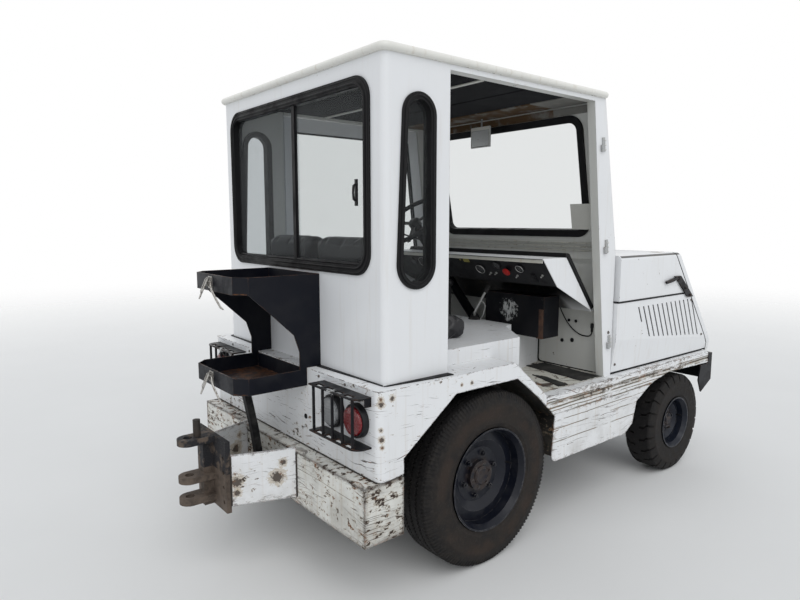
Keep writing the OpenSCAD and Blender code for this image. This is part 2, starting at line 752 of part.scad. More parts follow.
// Everything outside a bonnet side's leaning lower face, moved in by g
module outside_fold(g) {
    fall = atan((fold_line[0].y - fold_line[1].y) / (fold_line[1].x - fold_line[0].x));
    down = 400;
    translate([fold_line[0].x, hood_half - g, fold_line[0].y]) rotate([0, fall, 0])
        along_x(-100, 1400) polygon([[0, 0], [fold_deep, 0], [fold_deep, -down],
            [-down * fold_lean, -down]]);
}
louvre_top = 1036;
module bonnet_sides() {
    color("white") {
        difference() {
            union() {
                both_sides() difference() {
                    block([hood_rear, hood_half - fold_deep, hood_low], [far, hood_half, lid_low - 9]);
                    difference() {
                        block([hood_rear - 1, hood_half - fold_deep - 1, hood_low - 1],
                            [far + 1, hood_half - sheet, lid_low]);
                        outside_fold(sheet);
                    }
                }
                block([hood_rear, -hood_half, hood_low], [hood_rear + sheet, hood_half, lid_low - 9]);
                block([hood_rear, -hood_half + 30, hood_low],
                    [hood_rear + sheet, hood_half - 30, hood_top - 15]);
                both_sides() block([sill_front - 40, rail_in, sill_top],
                    [sill_front, hood_half - 12, sill_top + 40]);
            }
            block([hood_rear - 1, -500, hood_low + 60], [hood_rear + sheet + 1, 500, lid_low + 100]);
            along_y(-far / 2, far) ahead_of_nose(nose_t + seam);
            both_sides() louvre_slots();
            both_sides() outside_fold(0);
        }
        for (y = [-359.5, 299.5]) {
            translate([lid_hinge.x, y, lid_hinge.y]) rotate([-90, 0, 0]) cylinder(h = 60, r = 6);
            block([hood_rear, y, hood_top - 16], [hood_rear + sheet, y + 60, hood_top - 2]);
        }
    }
}
module louvre_slots() {
    for (i = [0:louvres]) {
        x = 1790 + i * louvre_pitch;
        drop = i == 0 ? 85 : 172 + 5 * i;
        along_y(hood_half - 2 * sheet, 3 * sheet) polygon([[x, louvre_top], [x + louvre_w, louvre_top],
            [x + louvre_w + drop * 0.45, louvre_top - drop], [x + drop * 0.45, louvre_top - drop]]);
    }
}
lid_hinge = [1590, hood_top - 2];
// Depth of the flange turned in round the lid's rear edge
lid_flange = 45;
module bonnet_lid() {
    color("white") {
        difference() {
            along_x(lid_hinge.x + 12, nose_low_x - lid_hinge.x) difference() {
                hood_section(0);
                hood_section(sheet);
                translate([-far, 0]) square([2 * far, lid_low]);
            }
            along_y(-far / 2, far) ahead_of_nose(nose_t + seam);
        }
        along_x(lid_hinge.x + 12, sheet) difference() {
            hood_section(0);
            translate([lid_flange - hood_half, 0])
                square([2 * (hood_half - lid_flange), hood_top - lid_flange]);
            translate([-far, 0]) square([2 * far, lid_low]);
        }
        block([nose_top_x - 110, -500, hood_top - 2 * sheet],
            [nose_top_x - 8, 500, hood_top - sheet]);
        for (y = [-420, 360]) {
            translate([lid_hinge.x, y, lid_hinge.y]) rotate([-90, 0, 0]) cylinder(h = 60, r = 6);
            block([lid_hinge.x, y, hood_top - sheet], [lid_hinge.x + 13, y + 60, hood_top]);
        }
    }
}
// Black over-centre latches at the lid's lower front corners, clear of the fixed sides
latch_off = 6;
latch_strap = [[2166, 1183], [2232, 1183], [2395, 1050], [2326, 1050]];
module lid_latches() {
    color("#17171a") both_sides() translate([0, hood_half, 0]) {
        along_y(latch_off, 5) polygon(latch_strap);
        along_y(0, latch_off) polygon([latch_strap[0], latch_strap[1], [2333, lid_low + 20],
            [2290, lid_low + 20]]);
        along_y(latch_off, 10) polygon([[2059, 1150], [2190, 1168], [2190, 1182], [2059, 1160]]);
    }
}
module nose_panel() {
    color("white") difference() {
        intersection() {
            along_x(0, far) hood_section(0);
            along_y(-hood_half, 2 * hood_half) bent(nose_run, -nose_t);
            block([0, -far, nose_foot_z], [far, far, far]);
        }
        difference() {
            intersection() {
                along_x(0, far) hood_section(sheet);
                along_y(-hood_half, 2 * hood_half) difference() {
                    bent(nose_run, -nose_t - 1);
                    bent(nose_run, -sheet);
                }
                block([0, -far, nose_foot_z + sheet], [far, far, far]);
            }
            both_sides() outside_fold(sheet);
        }
        both_sides() outside_fold(0);
        on_nose() translate([0, 0, -nose_t]) linear_extrude(nose_t + 1) grille_opening(0);
    }
}
// Puts an outline drawn in [y, up the slope] on the nose panel's face, z out of it
module on_nose() {
    translate([nose_top_x, 0, hood_top]) rotate([0, -nose_lean, 0]) rotate([90, 0, 90]) children();
}
grille_half = 470;
module grille_opening(g) {
    rounded([g - grille_half, 90 - nose_slope + g], [grille_half - g, -70 - g], 40 - g);
}
module nose_grille() {
    rows = 11;
    rim = 24;
    pitch = (nose_slope - 160) / rows;
    color("#17171a") on_nose() translate([0, 0, -sheet]) linear_extrude(sheet) {
        difference() {
            grille_opening(0);
            grille_opening(rim);
        }
        for (i = [1:rows - 1]) translate([rim / 2 - grille_half, -76 - i * pitch])
            square([2 * grille_half - rim, 12]);
    }
}
bumper_front = 2655;
bumper_low = 503;
bumper_top = 675;
bumper_t = 8;
module front_bumper() {
    side = [[2530, 440], [2490, 520], [2510, 612], [sill_front + gap, 612],
        [sill_front + gap, bumper_top], [bumper_front, bumper_top], [bumper_front, bumper_low]];
    color("#17171a") {
        block([bumper_front - bumper_t, -body_half, bumper_low],
            [bumper_front, body_half, bumper_top]);
        both_sides() along_y(body_half - bumper_t, bumper_t) polygon(side);
        both_sides() block([rail_front, rail_in, 560], [bumper_front, rail_out, 620]);
    }
}
module headlamps() {
    color("#e8e8e2") both_sides() translate([bumper_front, 520, 590]) rotate([0, 90, 0])
        cylinder(h = 12, r = 60);
}
module mirrors() {
    color("#8c9092") {
        block([1345, 5, cab_top - 171], [1357, 148, cab_top - 57]);
        block([1351, 70, cab_top - 57], [1357, 78, cab_top]);
    }
}

engine_rear = 1720;
engine_front = 2380;
engine_w = 440;
rail_in = 250;
rail_out = 330;
rail_low = 500;
rail_high = 620;
rail_front = 2480;
module chassis_frame() {
    color("#1b1b1d") {
        both_sides() difference() {
            block([ballast_front, rail_in, rail_low], [rail_front, rail_out, rail_high]);
            block([ballast_front - 1, rail_in - 1, rail_low + 8],
                [rail_front + 1, rail_out - 8, rail_high - 8]);
        }
        for (x = [ballast_front + 20, fender_front, engine_rear + 40, engine_front - 100,
                rail_front - 80])
            block([x, -rail_in - 20, rail_low + 8], [x + 60, rail_in + 20, rail_low + 60]);
        for (x = [rear_arch_line[5].x + 20, bulkhead_x - 270, bulkhead_x - 70]) both_sides()
            block([x, rail_out, rail_high - 40], [x + 40, sill_inside, rail_high]);
        both_sides() block([fender_front + 20, rail_out - 20, rail_high],
            [bulkhead_x - 30, rail_out, floor_top - sheet]);
    }
}
module engine() {
    color("#5c5f62") block([engine_rear, -engine_w / 2, rail_low + 60],
        [engine_front, engine_w / 2, rail_low + 560]);
}

spring_y = 290;
// A leaf spring pack as an arc over the axle: centre [x, z] of its seat, half length, rise
module leaf_pack(x, z, half, rise, t) {
    r = (half * half + rise * rise) / (2 * rise);
    along_y(spring_y - 30, 60) intersection() {
        difference() {
            translate([x, z + r]) circle(r, $fn = 180);
            translate([x, z + r]) circle(r - t, $fn = 180);
        }
        translate([x - half, z - 1]) square([2 * half, rise + t]);
    }
}
module front_axle() {
    color("#202022") {
        difference() {
            union() {
                block([front_axle_x - 30, -kingpin_y + 20, front_r - 34],
                    [front_axle_x + 30, kingpin_y - 20, front_r + 34]);
                both_sides() translate([front_axle_x, kingpin_y, front_r - 50])
                    cylinder(h = 100, r = 34);
            }
            both_sides() translate([front_axle_x, kingpin_y, front_r - 51])
                cylinder(h = 102, r = 16.05);
        }
        both_sides() {
            leaf_pack(front_axle_x, front_r + 34, 300, 130, 32);
            for (s = [-1, 1]) block([front_axle_x + s * 285 - 15, spring_y - 30, 460],
                [front_axle_x + s * 285 + 15, spring_y + 30, rail_low]);
        }
    }
}
module rear_axle() {
    color("#202022") {
        translate([rear_axle_x, 0, rear_r]) {
            rotate([90, 0, 0]) cylinder(h = 2 * rear_hub_in, r = 58, center = true);
            rotate([90, 0, 0]) cylinder(h = 2 * (rear_out - hub_end(rear_disc)), r = 35, center = true);
            sphere(145);
        }
        both_sides() {
            leaf_pack(rear_axle_x, rear_r + 50, 380, 30, 32);
            for (s = [-1, 1]) block([rear_axle_x + s * 365 - 15, spring_y - 30, 484],
                [rear_axle_x + s * 365 + 15, spring_y + 30, rail_low]);
        }
    }
}
// Depths in from a tyre's outer face: the wheel's disc and the inner end of its hub
front_disc = 75;
rear_disc = 85;
front_hub = 110;
rear_hub = 185;
rear_hub_in = rear_out - rear_hub - gap;
// How far a hub's cap stands out of the disc, and the cap's thickness
hub_rise = 22;
hub_cap = 8;
// Depth of a spindle's end, clear of the cap
function hub_end(disc) = disc - hub_rise + hub_cap + gap;
knuckle_plate = 62;
module knuckle() {
    color("#242426") translate([front_axle_x, kingpin_y, front_r]) {
        for (z = [-74, 52]) translate([0, 0, z]) linear_extrude(22) {
            circle(32);
            translate([-32, 0]) square([64, knuckle_plate]);
        }
        translate([0, 0, -74]) cylinder(h = 148, r = 16);
        block([-32, knuckle_plate - 22, -74], [32, knuckle_plate, 74]);
        translate([0, knuckle_plate, 0]) rotate([-90, 0, 0])
            cylinder(h = front_out - hub_end(front_disc) - kingpin_y - knuckle_plate, r = 25);
        block([-165, -35, -74], [0, -5, -56]);
    }
}
module left_knuckle() { knuckle(); }
module right_knuckle() { mirror([0, 1, 0]) knuckle(); }
tie_x = front_axle_x - 150;
tie_y = kingpin_y - 20;
module tie_rod() {
    color("#242426") {
        translate([tie_x, -tie_y, front_r - 38]) rotate([-90, 0, 0]) cylinder(h = 2 * tie_y, r = 11);
        both_sides() translate([tie_x, tie_y, front_r - 55.7]) cylinder(h = 36.7, r = 15);
    }
}

// A closed ring lofted through its sections, each a list of corners as [radius, depth, angle],
// with the angle counted from straight down
module lofted_ring(sections) {
    n = len(sections);
    m = len(sections[0]);
    rotate([90, 0, 0]) polyhedron(
        [for (section = sections) for (c = section) [c[0] * sin(c[2]), -c[0] * cos(c[2]), c[1]]],
        [for (i = [0:n - 1], j = [0:m - 1]) for (t = [[0, 3, 1], [0, 2, 3]])
            [for (k = t) ((i + floor(k / 2)) % n) * m + (j + k % 2) % m]]);
}
// A section's outer half, then the same half turned over for the inner side and set on by turn,
// apart from its bead
function whole_section(half, w, a, turn) = concat([for (c = half) [c.x, c.y, a]],
    [for (j = [len(half) - 1:-1:0]) [half[j].x, w - half[j].y, a + (j == 0 ? 0 : turn)]]);
// Play of a tyre's bead round its rim
bead_play = 0.3;
// How far the bead seat lies inside the rim's flange
bead_seat = 8;
// Sections round a road tyre: the rear tyres' fine tread is shallow and shows no lugs
tyre_sides = 48;
// A road tyre of radius r and width w on a rim of radius rim, standing from y = 0 inwards
module road_tyre(r, w, rim) {
    h = r - rim;
    step = 360 / tyre_sides;
    flat = 1 / cos(step / 2);
    half = [[(rim - bead_seat + bead_play) * flat, 0.12 * w], [rim + 6, 0.04 * w],
        [rim + 0.45 * h, 0], [r - 0.2 * h, 0.02 * w], [r * flat, 0.13 * w]];
    lofted_ring([for (i = [0:tyre_sides - 1]) whole_section(half, w, (i + 0.5) * step, 0)]);
}
// Share of the pitch that a lug's top takes, and that each of its flanks takes
lug_share = 0.6;
lug_flank = 0.1;
// A lugged tyre: the lugs of its inner half stand half a pitch on from those of its outer half
module lugged_tyre(r, w, rim) {
    pitch = 360 / lugs;
    tip = r / cos((1 - lug_share) / 2 * pitch);
    bead = (rim - bead_seat + bead_play) / cos(lug_share / 2 * pitch);
    marks = [-lug_share / 2, lug_share / 2, lug_share / 2 + lug_flank,
        1 - lug_share / 2 - lug_flank];
    lofted_ring([for (i = [0:lugs - 1], k = [0:3])
        let (top = k < 2 ? tip : tip - lug_h,
            half = [[bead, 0.12 * w], [rim + 0.4 * (r - rim), 0], [r - 1.7 * lug_h, 0.03 * w],
                [top, 0.12 * w], [top, 0.47 * w]])
        whole_section(half, w, (i + marks[k]) * pitch, pitch / 2)]);
}
// A dished disc wheel: hub bore b, disc set d in from the tyre's outer face
module disc_wheel(w, rim, b, d, hub_in) {
    rotate([90, 0, 0]) {
        rotate_extrude($fn = 96) polygon([[rim - bead_seat, 0.12 * w], [rim + 5, 0.04 * w - 6],
            [rim - 2, 0.04 * w - 6], [rim - 2 * bead_seat, 0.14 * w],
            [rim - 2 * bead_seat, 0.86 * w], [rim - 2, 0.96 * w + 6], [rim + 5, 0.96 * w + 6],
            [rim - bead_seat, 0.88 * w]]);
        rotate_extrude($fn = 96) polygon([[b, d], [0.55 * rim, d], [0.72 * rim, d - 22],
            [rim - 15, d - 14], [rim - 15, d - 4], [0.72 * rim, d - 10], [0.55 * rim, d + 12],
            [b, d + 12]]);
        translate([0, 0, d - hub_rise]) difference() {
            cylinder(h = hub_in - d + hub_rise, r = 0.3 * rim);
            translate([0, 0, hub_cap]) cylinder(h = far, r = b);
        }
    }
}
module rear_wheel_at(s) {
    translate([rear_axle_x, s * rear_out, rear_r]) mirror([0, s > 0 ? 0 : 1, 0]) children();
}
module front_wheel_at(s) {
    translate([front_axle_x, s * front_out, front_r]) mirror([0, s > 0 ? 0 : 1, 0]) children();
}
module front_rim() { color("#23252b") disc_wheel(front_w, front_rim_r, 25.05, front_disc, front_hub); }
module rear_rim() { color("#1c1d20") disc_wheel(rear_w, rear_rim_r, 35.05, rear_disc, rear_hub); }
module front_tyre() { color("#1a1a1a") lugged_tyre(front_r, front_w, front_rim_r); }
module rear_tyre() { color("#221f1d") road_tyre(rear_r, rear_w, rear_rim_r); }

door_t = 32;
door_front_gap = 4;
door_top = cab_top - rail_h - gap;
door_low = floor_top + 12;
function door_line(g) = [[door_rear + gap + g, body_top + 6 + g], [door_rear + gap + g, door_top - g],
    [pillar_rear_at(door_top) - door_front_gap - g, door_top - g],
    [pillar_rear_at(door_low) - door_front_gap - g, door_low + g],
    [fender_front + 12 + g, door_low + g], [fender_slope[0].x + 4 + g / 2, body_top + 6 + g]];
door_pane_low = 1250;
module door_window(g) {
    polygon([[door_rear + 75 + g, door_pane_low + g], [door_rear + 75 + g, door_top - 75 - g],
        [pillar_rear_at(door_top - 75) - 75 - g, door_top - 75 - g],
        [pillar_rear_at(door_pane_low) - 75 - g, door_pane_low + g]]);
}
module left_door() {
    color("white") {
        difference() {
            along_y(cab_half - door_t, door_t) polygon(door_line(0));
            along_y(cab_half - door_t - 1, door_t - sheet + 1) difference() {
                polygon(door_line(35));
                translate([0, door_pane_low - 45]) square([far, 45]);
                difference() {
                    translate([0, door_pane_low - 1]) square([far, far]);
                    door_window(0);
                }
            }
            along_y(cab_half - 2 * door_t, 3 * door_t) door_window(0);
        }
        for (z = hinge_z) on_hinge(z) {
            cylinder(h = hinge_h / 2, r = hinge_r);
            block([-62, -hinge_r - 2, 4], [-45, -hinge_r + 3, hinge_h / 2]);
            block([-62, -hinge_r - 1, 4], [-2, -hinge_r + 3, hinge_h / 2]);
        }
    }
}
module left_door_pane() {
    color([0.35, 0.4, 0.42, 0.5]) along_y(cab_half - door_t / 2, pane) door_window(0);
}

placed() chassis_frame();
placed() rear_body();
placed() rear_ballast();
placed() tow_box();
placed() hitch_bracket();
placed() hitch_pin();
placed() release_hose();
placed() tray_carrier();
placed() tray_latches();
placed() tail_lamps();
placed() reverse_lamps();
placed() lamp_guards();
placed() side_panels();
placed() cab_shell();
placed() cab_front();
placed() roof();
placed() window_rubbers();
placed() window_panes();
placed() door_hinges();
placed() floor_pan();
placed() seat_platform();
placed() seat_cushions();
placed() seat_backs();
placed() dash_cowl();
placed() instrument_panel();
placed() heater_box();
placed() steering_column();
placed() driver_controls();
placed() bonnet_sides();
placed() lid_latches();
placed() front_bumper();
placed() headlamps();
placed() mirrors();
placed() front_axle();
placed() rear_axle();
placed() engine();
placed() bonnet_lid();
placed() nose_panel();
placed() nose_grille();
placed() left_door();
placed() left_door_pane();
placed() steering_wheel();
placed() left_knuckle();
placed() right_knuckle();
placed() tie_rod();
placed() front_wheel_at(1) front_rim();  // front_left_rim
placed() front_wheel_at(-1) front_rim();  // front_right_rim
placed() rear_wheel_at(1) rear_rim();  // rear_left_rim
placed() rear_wheel_at(-1) rear_rim();  // rear_right_rim
placed() front_wheel_at(1) front_tyre();  // front_left_tyre
placed() front_wheel_at(-1) front_tyre();  // front_right_tyre
placed() rear_wheel_at(1) rear_tyre();  // rear_left_tyre
placed() rear_wheel_at(-1) rear_tyre();  // rear_right_tyre
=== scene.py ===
"""Looks of the airport baggage tug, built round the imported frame. Metres; +X forward, +Y left, +Z up."""

import math

import bmesh
import bpy
import numpy as np
from mathutils import Matrix, Vector


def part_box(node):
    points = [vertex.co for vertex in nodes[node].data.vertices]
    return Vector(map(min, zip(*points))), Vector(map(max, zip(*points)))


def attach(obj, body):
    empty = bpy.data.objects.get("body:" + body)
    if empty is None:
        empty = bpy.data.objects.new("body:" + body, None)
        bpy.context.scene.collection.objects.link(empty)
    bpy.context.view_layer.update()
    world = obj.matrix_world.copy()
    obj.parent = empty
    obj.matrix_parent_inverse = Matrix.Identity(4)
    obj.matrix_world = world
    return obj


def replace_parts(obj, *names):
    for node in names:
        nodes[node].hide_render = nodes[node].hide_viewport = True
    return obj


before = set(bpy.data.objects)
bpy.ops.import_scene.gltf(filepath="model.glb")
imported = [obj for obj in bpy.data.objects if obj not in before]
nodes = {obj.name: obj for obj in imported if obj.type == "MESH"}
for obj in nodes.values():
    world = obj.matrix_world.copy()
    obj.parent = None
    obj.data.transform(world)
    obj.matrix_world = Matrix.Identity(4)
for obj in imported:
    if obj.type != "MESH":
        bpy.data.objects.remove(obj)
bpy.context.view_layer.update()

scene = bpy.context.scene

# Place, yaw and pitch in degrees, and lens in millimetres over a 36 mm sensor
CAMERA_PLACE = (-2.3992, -2.4316, 1.4947)
CAMERA_YAW = 50.733
CAMERA_PITCH = -7.244
CAMERA_LENS = 27.675

WHITE = (0.79, 0.80, 0.81)
CREAM = (0.79, 0.78, 0.73)
INNER_GREY = (0.62, 0.62, 0.585)
RUST = (0.15, 0.062, 0.024)
DARK_RUST = (0.035, 0.022, 0.016)
STAIN = (0.46, 0.37, 0.25)
GRIME = (0.25, 0.225, 0.185)
INKY = (0.009, 0.009, 0.010)

# The sign of y on the right and on the left
SIDES = (-1, 1)

# The frame's zero along the length, as a station: the source counts stations forward from the
# lamp panel's rear face. Stations, half widths and heights are millimetres, as in the source
FRAME_ZERO = 1100.5
BONNET_HALF = 692.5
DASH_TOP = 1320

# The windscreen's foot, and its rise and lean, which are its face's normal
SCREEN_FOOT = (1580, 1347)
SCREEN_FACE = (742, 0, 144)
SCREEN_RAKE = math.atan(SCREEN_FACE[2] / SCREEN_FACE[0])

# Just inside the body's side sheets, in the frame's metres
BODY_SKIN = 0.7165

# How much farther out the rims' flanges stand than the tyres' beads
RIM_FLANGE = 0.005


def at(x, y, z):
    """The frame's place of a station, a distance to the left and a height in millimetres."""
    return Vector(((x - FRAME_ZERO) / 1000, y / 1000, z / 1000))


def polar(radius, angle, height=0.0):
    """A point at a distance from the z axis, at an angle round it."""
    return Vector((radius * math.cos(angle), radius * math.sin(angle), height))


class Finish:
    """One procedural material, built by short calls that return sockets."""

    def __init__(self, name, metal=0.0, coat=0.0, specular=0.5):
        self.material = bpy.data.materials.new(name)
        self.material.use_nodes = True
        self.tree = self.material.node_tree
        self.face = self.tree.nodes["Principled BSDF"]
        self.face.inputs["Metallic"].default_value = metal
        self.face.inputs["Coat Weight"].default_value = coat
        self.face.inputs["Coat Roughness"].default_value = 0.12
        self.face.inputs["Specular IOR Level"].default_value = specular
        self.place = self.node("ShaderNodeTexCoord").outputs["Object"]
        split = self.node("ShaderNodeSeparateXYZ")
        self.feed(split.inputs[0], self.place)
        self.x, self.y, self.z = split.outputs
        self.side = self.maths("ABSOLUTE", self.y)

    def node(self, kind, **settings):
        """A new shader node with its settings."""
        made = self.tree.nodes.new(kind)
        for key, value in settings.items():
            setattr(made, key, value)
        return made

    def feed(self, socket, value):
        """Links a socket, or sets a colour or a number, on an input."""
        if isinstance(value, bpy.types.NodeSocket):
            self.tree.links.new(value, socket)
        elif isinstance(value, tuple) and socket.type == "RGBA":
            socket.default_value = (*value[:3], 1.0)
        else:
            socket.default_value = value

    def maths(self, kind, a, b=0.0):
        """One sum on two sockets or numbers."""
        made = self.node("ShaderNodeMath", operation=kind)
        self.feed(made.inputs[0], a)
        self.feed(made.inputs[1], b)
        return made.outputs[0]

    def most(self, *masks):
        """The strongest of several masks."""
        total = masks[0]
        for mask in masks[1:]:
            total = self.maths("MAXIMUM", total, mask)
        return total

    def times(self, *parts):
        """The product of masks or numbers."""
        total = parts[0]
        for part in parts[1:]:
            total = self.maths("MULTIPLY", total, part)
        return total

    def step(self, value, low, high):
        """A smooth rise from 0 at low to 1 at high, or a fall where low is the larger."""
        made = self.node("ShaderNodeMapRange", interpolation_type="SMOOTHSTEP")
        self.feed(made.inputs["Value"], value)
        made.inputs["From Min"].default_value = min(low, high)
        made.inputs["From Max"].default_value = max(low, high)
        made.inputs["To Min"].default_value = 1.0 if low > high else 0.0
        made.inputs["To Max"].default_value = 0.0 if low > high else 1.0
        return made.outputs["Result"]

    def below(self, value, limit, fade=0.001):
        """1 below the limit, fading to 0 as it is reached."""
        return self.step(value, limit, limit - fade)

    def noise(self, grain, detail=4.0, rough=0.55, long=(1, 1, 1), shift=0.0, place=None):
        """Noise with patches about grain metres across, longer along each axis by long."""
        moved = self.node("ShaderNodeMapping")
        self.feed(moved.inputs["Vector"], place or self.place)
        moved.inputs["Location"].default_value = (shift, shift * 0.7, shift * 0.4)
        moved.inputs["Scale"].default_value = [1 / (grain * part) for part in long]
        made = self.node("ShaderNodeTexNoise")
        self.feed(made.inputs["Vector"], moved.outputs[0])
        made.inputs["Scale"].default_value = 1.0
        made.inputs["Detail"].default_value = detail
        made.inputs["Roughness"].default_value = rough
        return made.outputs["Fac"]

    def patches(self, grain, band, *noise, **settings):
        """Noise cut into patches: it rises from 0 to 1 over the band."""
        return self.step(self.noise(grain, *noise, **settings), *band)

    def lines(self, thin, long, shift):
        """Noise drawn out into long, slightly wandering level lines."""
        wander = self.times(self.maths("SUBTRACT", self.noise(0.45, 2, shift=shift + 1), 0.5), 0.16)
        joined = self.node("ShaderNodeCombineXYZ")
        for socket, value in zip(joined.inputs, (self.x, self.y, self.maths("ADD", self.z, wander))):
            self.feed(socket, value)
        return self.noise(thin, 3, 0.6, long=(long, long, 1), shift=shift, place=joined.outputs[0])

    def cells(self, grain):
        """Distance to the nearest of cells about grain metres across."""
        made = self.node("ShaderNodeTexVoronoi")
        self.feed(made.inputs["Vector"], self.place)
        made.inputs["Scale"].default_value = 1 / grain
        return made.outputs["Distance"]

    def mix(self, share, a, b):
        """A colour between a and b."""
        made = self.node("ShaderNodeMix", data_type="RGBA")
        self.feed(made.inputs["Factor"], share)
        self.feed(made.inputs[6], a)
        self.feed(made.inputs[7], b)
        return made.outputs[2]

    def over(self, base, colour, *masks):
        """The colour laid over the base where all the masks are strong."""
        return self.mix(self.times(*masks), base, colour)

    def blend(self, share, a, b):
        """A number between a and b."""
        made = self.node("ShaderNodeMix", data_type="FLOAT")
        self.feed(made.inputs["Factor"], share)
        self.feed(made.inputs[2], a)
        self.feed(made.inputs[3], b)
        return made.outputs[0]

    def dot(self, a, b):
        """The dot product of two vectors."""
        made = self.node("ShaderNodeVectorMath", operation="DOT_PRODUCT")
        self.feed(made.inputs[0], a)
        self.feed(made.inputs[1], b)
        return made.outputs["Value"]

    def edges(self, radius):
        """1 on sharp edges, fading to 0 within radius of them."""
        soft = self.node("ShaderNodeBevel", samples=4)
        soft.inputs["Radius"].default_value = radius
        turned = self.dot(soft.outputs[0], self.node("ShaderNodeNewGeometry").outputs["Normal"])
        return self.step(turned, 0.995, 0.86)

    def beyond(self, point, normal):
        """Distance in front of the plane through point."""
        normal = Vector(normal).normalized()
        return self.maths("SUBTRACT", self.dot(self.place, tuple(normal)), normal.dot(point))

    def near(self, point, reach):
        """1 at point, fading to 0 at reach from it; a ragged patch."""
        made = self.node("ShaderNodeVectorMath", operation="DISTANCE")
        self.feed(made.inputs[0], self.place)
        self.feed(made.inputs[1], tuple(point))
        ragged = self.times(self.maths("SUBTRACT", self.noise(0.3 * reach, 5, 0.7), 0.5), 2.2 * reach)
        return self.step(self.maths("ADD", made.outputs["Value"], ragged), reach, 0.75 * reach)

    def within(self, low, high):
        """1 inside a box."""
        masks = []
        for value, a, b in zip((self.x, self.y, self.z), low, high):
            masks += [self.maths("GREATER_THAN", value, a), self.maths("LESS_THAN", value, b)]
        return self.times(*masks)

    def from_axis(self, centre):
        """Distance from an axle's line along y through centre."""
        dx = self.maths("SUBTRACT", self.x, centre.x)
        dz = self.maths("SUBTRACT", self.z, centre.z)
        return self.maths("SQRT", self.maths("ADD", self.times(dx, dx), self.times(dz, dz)))

    def done(self, colour, rough=0.5, bump=None, depth=0.001, soften=0.0):
        """Fills in the shader; soften rounds the look of sharp edges by that radius."""
        self.feed(self.face.inputs["Base Color"], colour)
        self.feed(self.face.inputs["Roughness"], rough)
        if bump is not None:
            made = self.node("ShaderNodeBump")
            made.inputs["Distance"].default_value = depth
            self.feed(made.inputs["Height"], bump)
            if soften:
                soft = self.node("ShaderNodeBevel", samples=4)
                soft.inputs["Radius"].default_value = soften
                self.feed(made.inputs["Normal"], soft.outputs[0])
            self.feed(self.face.inputs["Normal"], made.outputs[0])
        return self.material


def windscreen_inside(f):
    """Everything behind the cab front's outer faces, between its outer sides; it takes the inner grey,
    which on the windscreen pillars' rear faces is partly the inner paint and partly painted shade.
    """
    foot, height = SCREEN_FOOT
    slope = f.beyond(at(foot - 5, 0, height), SCREEN_FACE)
    front = f.beyond(at(foot - 3.5, 0, height), (1, 0, 0))
    return f.times(f.below(slope, 0.0, 0.002), f.below(front, 0.0, 0.002), f.below(f.side, 0.6695))


def shell_inside(f):
    """The inside of the cab's rear and side walls."""
    return f.times(f.step(f.x, -1.0080, -1.0060), f.below(f.side, 0.6440, 0.0015))


def fender_inside(f):
    """The wheel wells and the back of the fenders, lamp panel and deck."""
    return f.times(f.below(f.z, 0.8825), f.below(f.side, BODY_SKIN), f.step(f.x, -1.0660, -1.0650))


def sill_inside(f):
    """The back of the panels between the wheels."""
    return f.times(f.below(f.z, 0.6875), f.below(f.side, BODY_SKIN))


def under_hood(f):
    """The back of the bonnet's sheets: behind the nose, under the top and inside the leaning sides."""
    nose = f.beyond(at(2220, 0, 1320), (571, 0, 452))
    foot = f.beyond(at(2675, 0, 720), (1, 0, 0))
    mirrored = f.node("ShaderNodeCombineXYZ")
    for socket, value in zip(mirrored.inputs, (f.x, f.side, f.z)):
        f.feed(socket, value)
    # The normal of the side's leaning part, which starts at the fold
    lean = Vector((-0.0134, 0.9905, -0.1377)).normalized()
    on_side = lean.dot(at(1577, BONNET_HALF, 880))
    fold = f.maths("SUBTRACT", f.dot(mirrored.outputs[0], tuple(lean)), on_side)
    return f.times(f.below(f.z, 1.3175), f.below(nose, -0.0025), f.below(foot, 0.0),
                   f.below(f.side, 0.6900), f.below(fold, -0.0020), f.step(f.x, 0.5075, 0.5085))


def dash_underside_shade(f):
    """Painted shade on the underside of the dash's sheet: black, fading to the white paint low down to the
    right of the heater.
    """
    slope = f.beyond(at(1260, 0, DASH_TOP), (285, 0, 229))
    # Painted shade: black high under the sheet and over the heater, fading out only low down to its right
    dark = f.most(f.step(f.z, 0.98, 1.12), f.step(f.y, -0.53, -0.43))
    return f.times(f.below(f.side, 0.5970), f.below(f.z, 1.3178, 0.0008), f.below(slope, -0.0020), dark)


